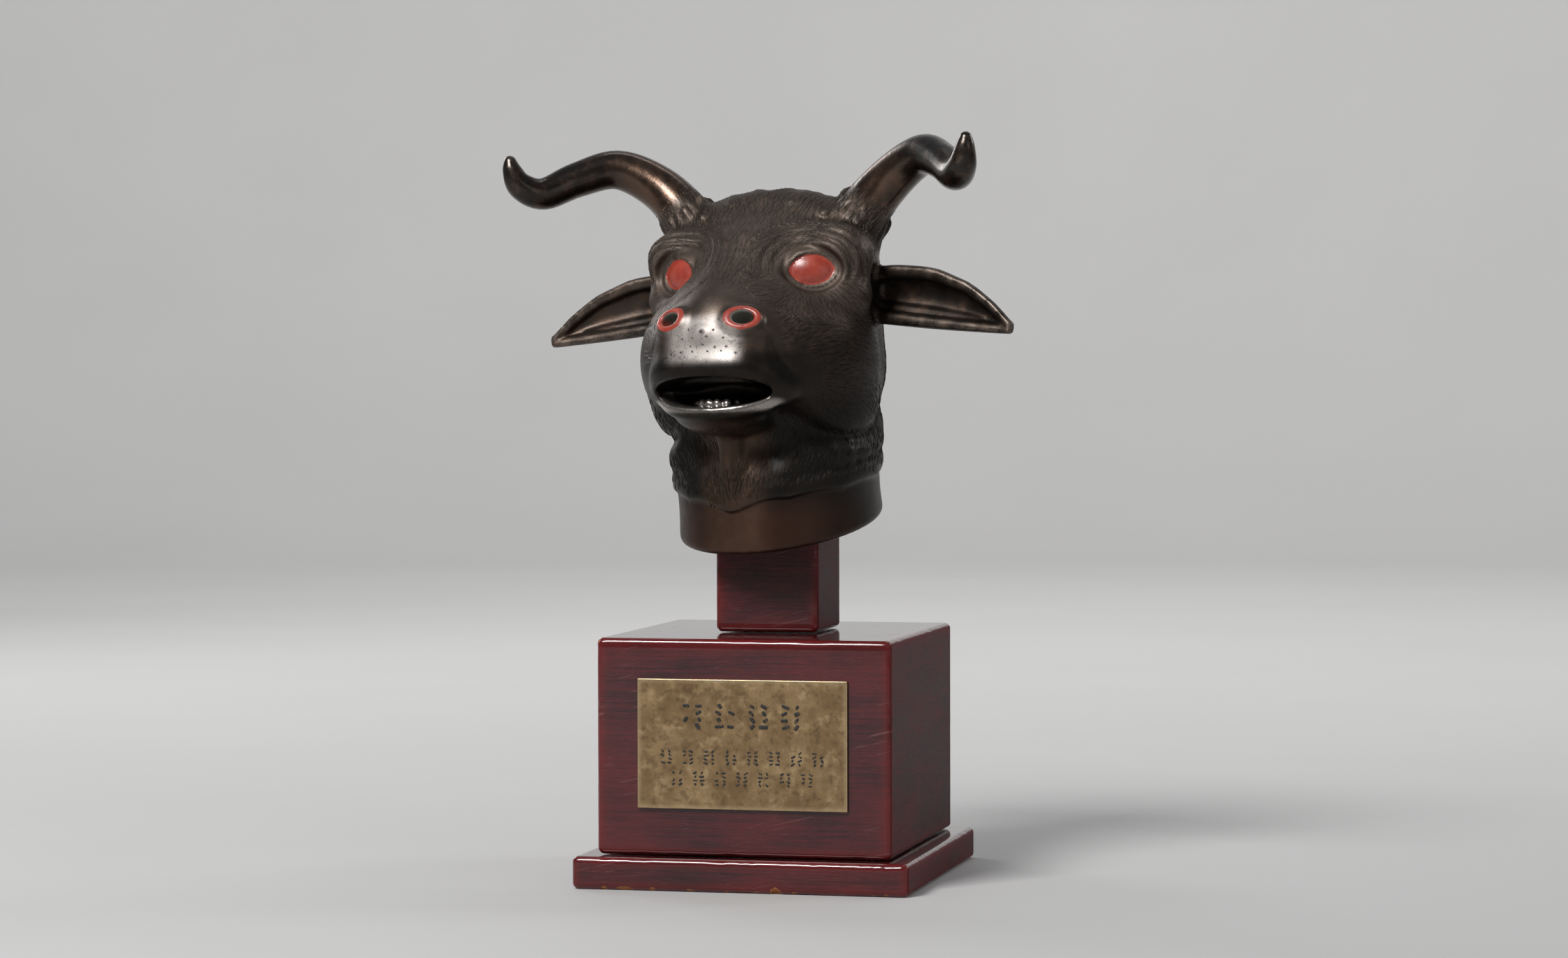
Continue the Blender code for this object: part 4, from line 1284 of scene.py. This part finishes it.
def mark_strokes(rows, thick, seed):
    """Places, sizes and turns of slanted strokes in rows of loose clusters, which spell nothing."""
    draw = np.random.default_rng(seed)
    low, _ = (np.array(corner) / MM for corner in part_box("brass_plate"))
    places, sizes, turns = [], [], []
    for height, tall, apart, count in rows:
        for column in range(count):
            middle = np.array(((column - (count - 1) / 2) * apart, low[1], low[2] + height))
            for slot in range(8):
                across, up = (slot % 2 - 0.5) * 0.52 * tall, (slot // 2 - 1.5) * 0.28 * tall
                slant = draw.choice((0.0, 0.5, -0.5, 0.95, -0.95)) + draw.uniform(-0.15, 0.15)
                length = draw.uniform(0.26, 0.42) * (1 - 0.28 * abs(slant))
                if draw.random() < 0.1:
                    continue
                places.append(middle + (across + draw.uniform(-0.04, 0.04) * tall, 0, up))
                sizes.append((length * tall, 0.0, thick * tall * draw.uniform(0.8, 1.2)))
                turns.append((0, slant, 0))
    return np.array(places), np.array(sizes), np.array(turns)


# Settings

def amount(name, description, default, **more):
    return FloatProperty(name=name, description=description, default=default, **more)


def metres(name, description, default):
    return amount(name, description, default, unit="LENGTH")


def tint(name, description, default):
    more = {"size": 3, "min": 0, "max": 1, "subtype": "COLOR"}
    return FloatVectorProperty(name=name, description=description, default=default, **more)


class OxHeadSizes(bpy.types.PropertyGroup):
    """Sizes of the cast head and its hair."""

    grid: amount("Skin grid", "Distance between the skin's points, in millimetres", 0.97, min=0.6, max=3.0)
    brow_spacing: metres("Brow hair spacing", "Distance between strokes", 0.00125)
    brow_length: metres("Brow hair length", "Length of a stroke", 0.0034)
    cheek_spacing: metres("Cheek hair spacing", "Distance between strokes", 0.0017)
    cheek_length: metres("Cheek hair length", "Length of a stroke", 0.0062)
    neck_spacing: metres("Neck hair spacing", "Distance between strokes", 0.00155)
    neck_length: metres("Neck hair length", "Length of a stroke", 0.0062)
    nape_spacing: metres("Nape hair spacing", "Distance between strokes", 0.0024)
    nape_length: metres("Nape hair length", "Length of a stroke", 0.0085)
    hair_seed: IntProperty(name="Hair seed", description="Start of the hair's random numbers", default=5)


class OxStandSizes(bpy.types.PropertyGroup):
    """Sizes of the stand and the plate."""

    ease: amount("Edge ease", "Radius of the boards' edges, in millimetres", 2.2, min=0.2, max=4)
    wear: amount("Edge wear", "Depth rubbed off the edges, in millimetres", 0.22, min=0, max=1)
    pitch: amount("Board pitch", "Distance between a board's points, in millimetres", 1.6)
    slab_pitch: amount("Slab pitch", "The same for the chipped slab", 0.9)
    plate_ease: amount("Plate ease", "Radius of the plate's edges, in millimetres", 0.3)
    relief: metres("Mark relief", "How thick the struck marks are", 0.00035)


class OxColours(bpy.types.PropertyGroup):
    """Colours of the finishes."""

    patina_dark: tint("Patina, dark", "Darkest bronze patina", (0.016, 0.014, 0.012))
    patina_brown: tint("Patina, brown", "Bronze patina over most of the head", (0.056, 0.042, 0.034))
    patina_face: tint("Patina, face", "Paler patina of the brow and the nose", (0.125, 0.096, 0.078))
    patina_warm: tint("Patina, warm", "Thin patina on horns and throat", (0.120, 0.070, 0.046))
    # painted reflection: the red of the stand, painted low on the front of the collar
    stand_red_reflection: tint("Patina, red", "Reddish patina low on the collar", (0.115, 0.045, 0.026))
    # also the painted highlight on the raised hair strokes
    rubbed: tint("Rubbed bronze", "Bronze where edges are rubbed", (0.230, 0.185, 0.155))
    muzzle_grey: tint("Muzzle", "Rubbed grey of the muzzle and lower lip", (0.430, 0.390, 0.360))
    nostril_dark: tint("Nostril", "Grey-green inside the nostrils", (0.150, 0.160, 0.135))
    paint_red: tint("Paint, red", "Paint of the eyes and nostril rings", (0.235, 0.022, 0.013))
    paint_orange: tint("Paint, orange", "Paler patches in the paint", (0.370, 0.055, 0.030))
    lacquer_dark: tint("Lacquer, dark", "Dark streaks of the lacquered wood", (0.026, 0.006, 0.007))
    lacquer_red: tint("Lacquer, red", "Red-brown of the lacquered wood", (0.085, 0.010, 0.012))
    lacquer_edge: tint("Lacquer, edge", "Clearer red along the edges", (0.150, 0.008, 0.008))
    lacquer_streak: tint("Lacquer, streak", "Pale pores and scratches", (0.190, 0.075, 0.070))
    raw_wood: tint("Raw wood", "Bare wood in the chips", (0.380, 0.150, 0.060))
    brass_brown: tint("Brass, brown", "Dull brass", (0.235, 0.150, 0.075))
    brass_yellow: tint("Brass, yellow", "Clearer brass", (0.350, 0.238, 0.122))
    brass_spot: tint("Brass, spots", "Dark spots on the plate", (0.120, 0.074, 0.038))
    brass_bright: tint("Brass, bright", "Filed edges of the plate", (0.640, 0.480, 0.280))
    enamel: tint("Enamel", "Black of the struck marks", (0.012, 0.012, 0.011))
    floor: tint("Floor", "Plain pale floor", (0.500, 0.495, 0.490))


class OxStudio(bpy.types.PropertyGroup):
    """The camera and the lamps. The camera stands where the photograph's did."""

    focal: amount("Focal length", "In pixels of a frame 2464 wide", 6562.6)
    azimuth: amount("Azimuth", "Degrees round from the stand's front", 13.2155)
    elevation: amount("Elevation", "Degrees above the horizon", 1.55265)
    lean: amount("Roll", "Degrees about the line of sight", -0.11737)
    distance: metres("Distance", "From the aim to the camera", 1.64226)
    aim_height: metres("Aim height", "Height of the aim", 0.155177)
    aim_right: metres("Aim right", "How far right of the axis the aim is", 0.00221)
    key: amount("Key lamp", "Power of the key lamp in watts", 38.0)
    fill: amount("Fill lamp", "Power of the fill lamp in watts", 1.6)
    rim: amount("Rim lamps", "Power of each lamp behind, in watts", 4.0)
    wall: amount("Wall lamp", "Power of the lamp that lights the wall, in watts", 60.0)
    sky: amount("Sky", "Strength of the even light", 0.22)


class OxFigure(bpy.types.PropertyGroup):
    """All settings of the figure."""

    head: PointerProperty(type=OxHeadSizes)
    stand: PointerProperty(type=OxStandSizes)
    colours: PointerProperty(type=OxColours)
    studio: PointerProperty(type=OxStudio)


def finish_named(name, maker):
    """The finish of that name, made once."""
    return bpy.data.materials.get(name) or maker(bpy.context.scene.ox_figure.colours)


def placed(piece, node=None):
    """Fastens a finished piece to the object's one body, and hides the node it stands for."""
    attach(piece, "root")
    if node:
        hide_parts(node)


# Operators

class OXFIGURE_OT_cast_head(bpy.types.Operator):
    """Make the head's fine skin with its stored masks and hair flow"""

    bl_idname = "ox_figure.cast_head"
    bl_label = "Cast the head"

    def execute(self, context):
        step = context.scene.ox_figure.head.grid
        points, faces = surface_of(head_field, HEAD_LOW, HEAD_HIGH, step)
        points = settled(head_field, points)
        normal = slope_of(head_field, points)
        normal /= np.linalg.norm(normal, axis=1)[:, None] + 1e-9
        sign = np.where(points[:, :1] < 0, -1.0, 1.0) * np.array((1.0, 0, 0)) + np.array((0, 1.0, 1.0))
        p = mirrored(points)
        masks = skin_masks(p)
        covers = hair_covers(p, masks)
        flow = hair_flow(p, normal * sign, covers) * sign
        place = np.array(head_matrix())
        mesh = mesh_of(points * MM @ place[:3, :3].T + place[:3, 3], faces)
        for name in ("horn", "collar", "muzzle", "lip", "dewlap"):
            store(mesh, name, masks[name])
        for name, cover in covers.items():
            store(mesh, name + "_cover", cover)
        store(mesh, "hair", np.sum(list(covers.values()), axis=0))
        store(mesh, "edge", edge_sharpness(points, faces, normal, step))
        store(mesh, "flow", flow @ place[:3, :3].T)
        mesh.shade_smooth()
        mesh.materials.append(finish_named("patinated_bronze", bronze_finish))
        placed(linked("cast_head", mesh), "ox_head")
        return {"FINISHED"}


class OXFIGURE_OT_comb_hair(bpy.types.Operator):
    """Raise the combed hair on brow, cheeks, neck and nape"""

    bl_idname = "ox_figure.comb_hair"
    bl_label = "Comb the hair"

    def execute(self, context):
        sizes = context.scene.ox_figure.head
        skin = bpy.data.objects["cast_head"].data
        tree = hair_tree()
        for number, (name, (width, sections, shine)) in enumerate(HAIR_COATS.items()):
            values = {
                "Cover": name + "_cover",
                "Spacing": getattr(sizes, name + "_spacing"),
                "Length": getattr(sizes, name + "_length"),
                "Width": width,
                "Sink": width * 0.2,
                "Shine": shine,
                "Sections": sections,
                "Seed": sizes.hair_seed + number,
                "Material": bpy.data.materials["patinated_bronze"],
            }
            placed(grown(name + "_hair", skin, tree, values))
        return {"FINISHED"}


class OXFIGURE_OT_pit_muzzle(bpy.types.Operator):
    """Set the small rimmed pits in the muzzle between the nostrils and the lip"""

    bl_idname = "ox_figure.pit_muzzle"
    bl_label = "Pit the muzzle"

    def execute(self, context):
        skin = bpy.data.objects["cast_head"]
        tree = BVHTree.FromObject(skin, context.evaluated_depsgraph_get())
        place = head_matrix()
        forward = (place.to_3x3() @ Vector((0, 1, 0))).normalized()
        draw = np.random.default_rng(3)
        spots = [LARGE_PIT]
        for height, count, pitch in PIT_ROWS:
            for column in range(count):
                x = (column - (count - 1) / 2) * pitch + draw.uniform(-1.1, 1.1)
                spots.append((x, height + draw.uniform(-0.9, 0.9), draw.uniform(0.7, 1.15)))
        places, turns = [], []
        for x, z, _ in spots:
            hit, normal, _, _ = tree.ray_cast(place @ (Vector((x, -80, z)) * MM), forward)
            if hit is None:
                raise RuntimeError("a pit of the muzzle misses the skin")
            places.append(hit)
            turns.append(normal.to_track_quat("Z", "Y").to_euler())
        points = mesh_of(np.array(places))
        store(points, "turn", np.array(turns))
        store(points, "size", np.repeat([[size] for _, _, size in spots], 3, axis=1))
        values = {"Radius": PIT_RADIUS, "Rim": PIT_RIM, "Material": bpy.data.materials["patinated_bronze"]}
        pits = grown("muzzle_pits", points, pits_tree(), values)
        store(pits.data, "muzzle", np.ones(len(pits.data.vertices)))
        placed(pits)
        return {"FINISHED"}


class OXFIGURE_OT_lacquer_boards(bpy.types.Operator):
    """Make the stand's slab, block and post with eased, worn and chipped edges"""

    bl_idname = "ox_figure.lacquer_boards"
    bl_label = "Lacquer the boards"

    def execute(self, context):
        sizes = context.scene.ox_figure.stand
        boards = {
            "base_slab": (sizes.slab_pitch, slab_chips()),
            "plinth_block": (sizes.pitch, BLOCK_CHIPS),
            "post": (sizes.pitch, POST_CHIPS),
        }
        for number, (node, (pitch, chips)) in enumerate(boards.items()):
            mesh = board_mesh(node, sizes.ease, pitch, sizes.wear, chips, 40 + number)
            mesh.materials.append(finish_named("red_lacquer", wood_finish))
            placed(linked("lacquered_" + node, mesh), node)
        return {"FINISHED"}


class OXFIGURE_OT_engrave_plate(bpy.types.Operator):
    """Make the brass plate and its rows of struck marks, which spell nothing"""

    bl_idname = "ox_figure.engrave_plate"
    bl_label = "Engrave the plate"

    def execute(self, context):
        sizes = context.scene.ox_figure.stand
        mesh = board_mesh("brass_plate", sizes.plate_ease, PLATE_PITCH, PLATE_WEAR, (), 60)
        mesh.materials.append(finish_named("mottled_brass", brass_finish))
        placed(linked("name_plate", mesh), "brass_plate")
        places, lengths, turns = mark_strokes(MARK_ROWS, MARK_THICK, 21)
        points = mesh_of(places * MM)
        store(points, "size", lengths * MM)
        store(points, "turn", turns)
        values = {"Relief": sizes.relief, "Material": finish_named("black_enamel", enamel_finish)}
        placed(grown("plate_marks", points, marks_tree(), values))
        return {"FINISHED"}


class OXFIGURE_OT_set_stage(bpy.types.Operator):
    """Set the pale floor, the soft lamps and the camera at the photograph's viewing angle"""

    bl_idname = "ox_figure.set_stage"
    bl_label = "Set the stage"

    def execute(self, context):
        studio = context.scene.ox_figure.studio
        self.floor()
        self.lamps(context, studio)
        self.camera(context, studio)
        return {"FINISHED"}

    def floor(self):
        """A round floor whose rim turns up into a plain wall all round."""
        flat, bend, top = 2.6, 0.9, 3.2
        shape = bmesh.new()
        turns = np.linspace(0, math.pi / 2, 9)
        corner = [(flat + bend * math.sin(a), bend - bend * math.cos(a)) for a in turns]
        profile = [(0.001, 0.0), (flat / 2, 0.0), *corner, (flat + bend, top)]
        points = [shape.verts.new((r, 0, z)) for r, z in profile]
        edges = [shape.edges.new(pair) for pair in zip(points[:-1], points[1:])]
        turn = {"axis": (0, 0, 1), "cent": (0, 0, 0), "steps": 96, "angle": 2 * math.pi}
        bmesh.ops.spin(shape, geom=points + edges, use_merge=True, **turn)
        bmesh.ops.remove_doubles(shape, verts=shape.verts, dist=1e-5)
        bmesh.ops.recalc_face_normals(shape, faces=shape.faces)
        mesh = bpy.data.meshes.new("floor")
        shape.to_mesh(mesh)
        shape.free()
        mesh.shade_smooth()
        mesh.materials.append(finish_named("pale_floor", floor_finish))
        linked("studio_floor", mesh)

    def lamps(self, context, studio):
        """A soft key from the upper left, a low fill from the right, two lamps behind and the wall's own."""
        rig = (
            ("key_lamp", (-0.55, -1.30, 1.45), studio.key, 0.60),
            ("fill_lamp", (1.3, -1.0, 0.55), studio.fill, 0.9),
            ("left_rim_lamp", (-1.1, 0.9, 0.8), studio.rim, 0.5),
            ("right_rim_lamp", (1.2, 0.8, 0.9), studio.rim, 0.5),
            ("wall_lamp", (0.0, 1.0, 2.3), studio.wall, 1.2),
        )
        for name, place, power, size in rig:
            data = bpy.data.lights.new(name, "AREA")
            data.energy = power
            data.size = size
            lamp = bpy.data.objects.new(name, data)
            lamp.location = place
            aim = Vector((-0.4, 3.5, 0.9)) if name == "wall_lamp" else Vector((0, 0, 0.18))
            lamp.rotation_euler = (aim - Vector(place)).to_track_quat("-Z", "Y").to_euler()
            context.scene.collection.objects.link(lamp)
        world = bpy.data.worlds.new("even_light")
        world.use_nodes = True
        world.node_tree.nodes["Background"].inputs["Color"].default_value = (0.92, 0.95, 1.0, 1.0)
        world.node_tree.nodes["Background"].inputs["Strength"].default_value = studio.sky
        context.scene.world = world
        context.scene.view_settings.view_transform = "Standard"

    def camera(self, context, studio):
        a, e, r = (math.radians(v) for v in (studio.azimuth, studio.elevation, studio.lean))
        back = Vector((math.sin(a) * math.cos(e), -math.cos(a) * math.cos(e), math.sin(e)))
        level = Vector((math.cos(a), math.sin(a), 0))
        upright = back.cross(level)
        right = level * math.cos(r) + upright * math.sin(r)
        up = upright * math.cos(r) - level * math.sin(r)
        place = Vector((0, 0, studio.aim_height)) + level * studio.aim_right + back * studio.distance
        data = bpy.data.cameras.new("photo_camera")
        data.sensor_width = 36.0
        data.lens = studio.focal * data.sensor_width / FRAME_WIDTH
        camera = bpy.data.objects.new("photo_camera", data)
        camera.matrix_world = Matrix.Translation(place) @ Matrix((right, up, back)).transposed().to_4x4()
        context.scene.collection.objects.link(camera)
        context.scene.camera = camera


class OXFIGURE_PT_panel(bpy.types.Panel):
    """Lists the steps and the settings in the 3D view's sidebar"""

    bl_idname = "OXFIGURE_PT_panel"
    bl_label = "Ox-head figure"
    bl_space_type = "VIEW_3D"
    bl_region_type = "UI"
    bl_category = "Ox head"

    def draw(self, context):
        for step in STEPS:
            self.layout.operator(step.bl_idname)
        figure = context.scene.ox_figure
        for group in (figure.head, figure.stand, figure.colours, figure.studio):
            box = self.layout.box()
            for name in group.__annotations__:
                box.prop(group, name)


STEPS = (
    OXFIGURE_OT_set_stage,
    OXFIGURE_OT_cast_head,
    OXFIGURE_OT_comb_hair,
    OXFIGURE_OT_pit_muzzle,
    OXFIGURE_OT_lacquer_boards,
    OXFIGURE_OT_engrave_plate,
)
CLASSES = (OxHeadSizes, OxStandSizes, OxColours, OxStudio, OxFigure, *STEPS, OXFIGURE_PT_panel)


def register():
    for kind in CLASSES:
        bpy.utils.register_class(kind)
    bpy.types.Scene.ox_figure = PointerProperty(type=OxFigure)


def unregister():
    del bpy.types.Scene.ox_figure
    for kind in reversed(CLASSES):
        bpy.utils.unregister_class(kind)


def main():
    register()
    for step in STEPS:
        group, name = step.bl_idname.split(".")
        getattr(getattr(bpy.ops, group), name)()


if __name__ == "__main__":
    main()
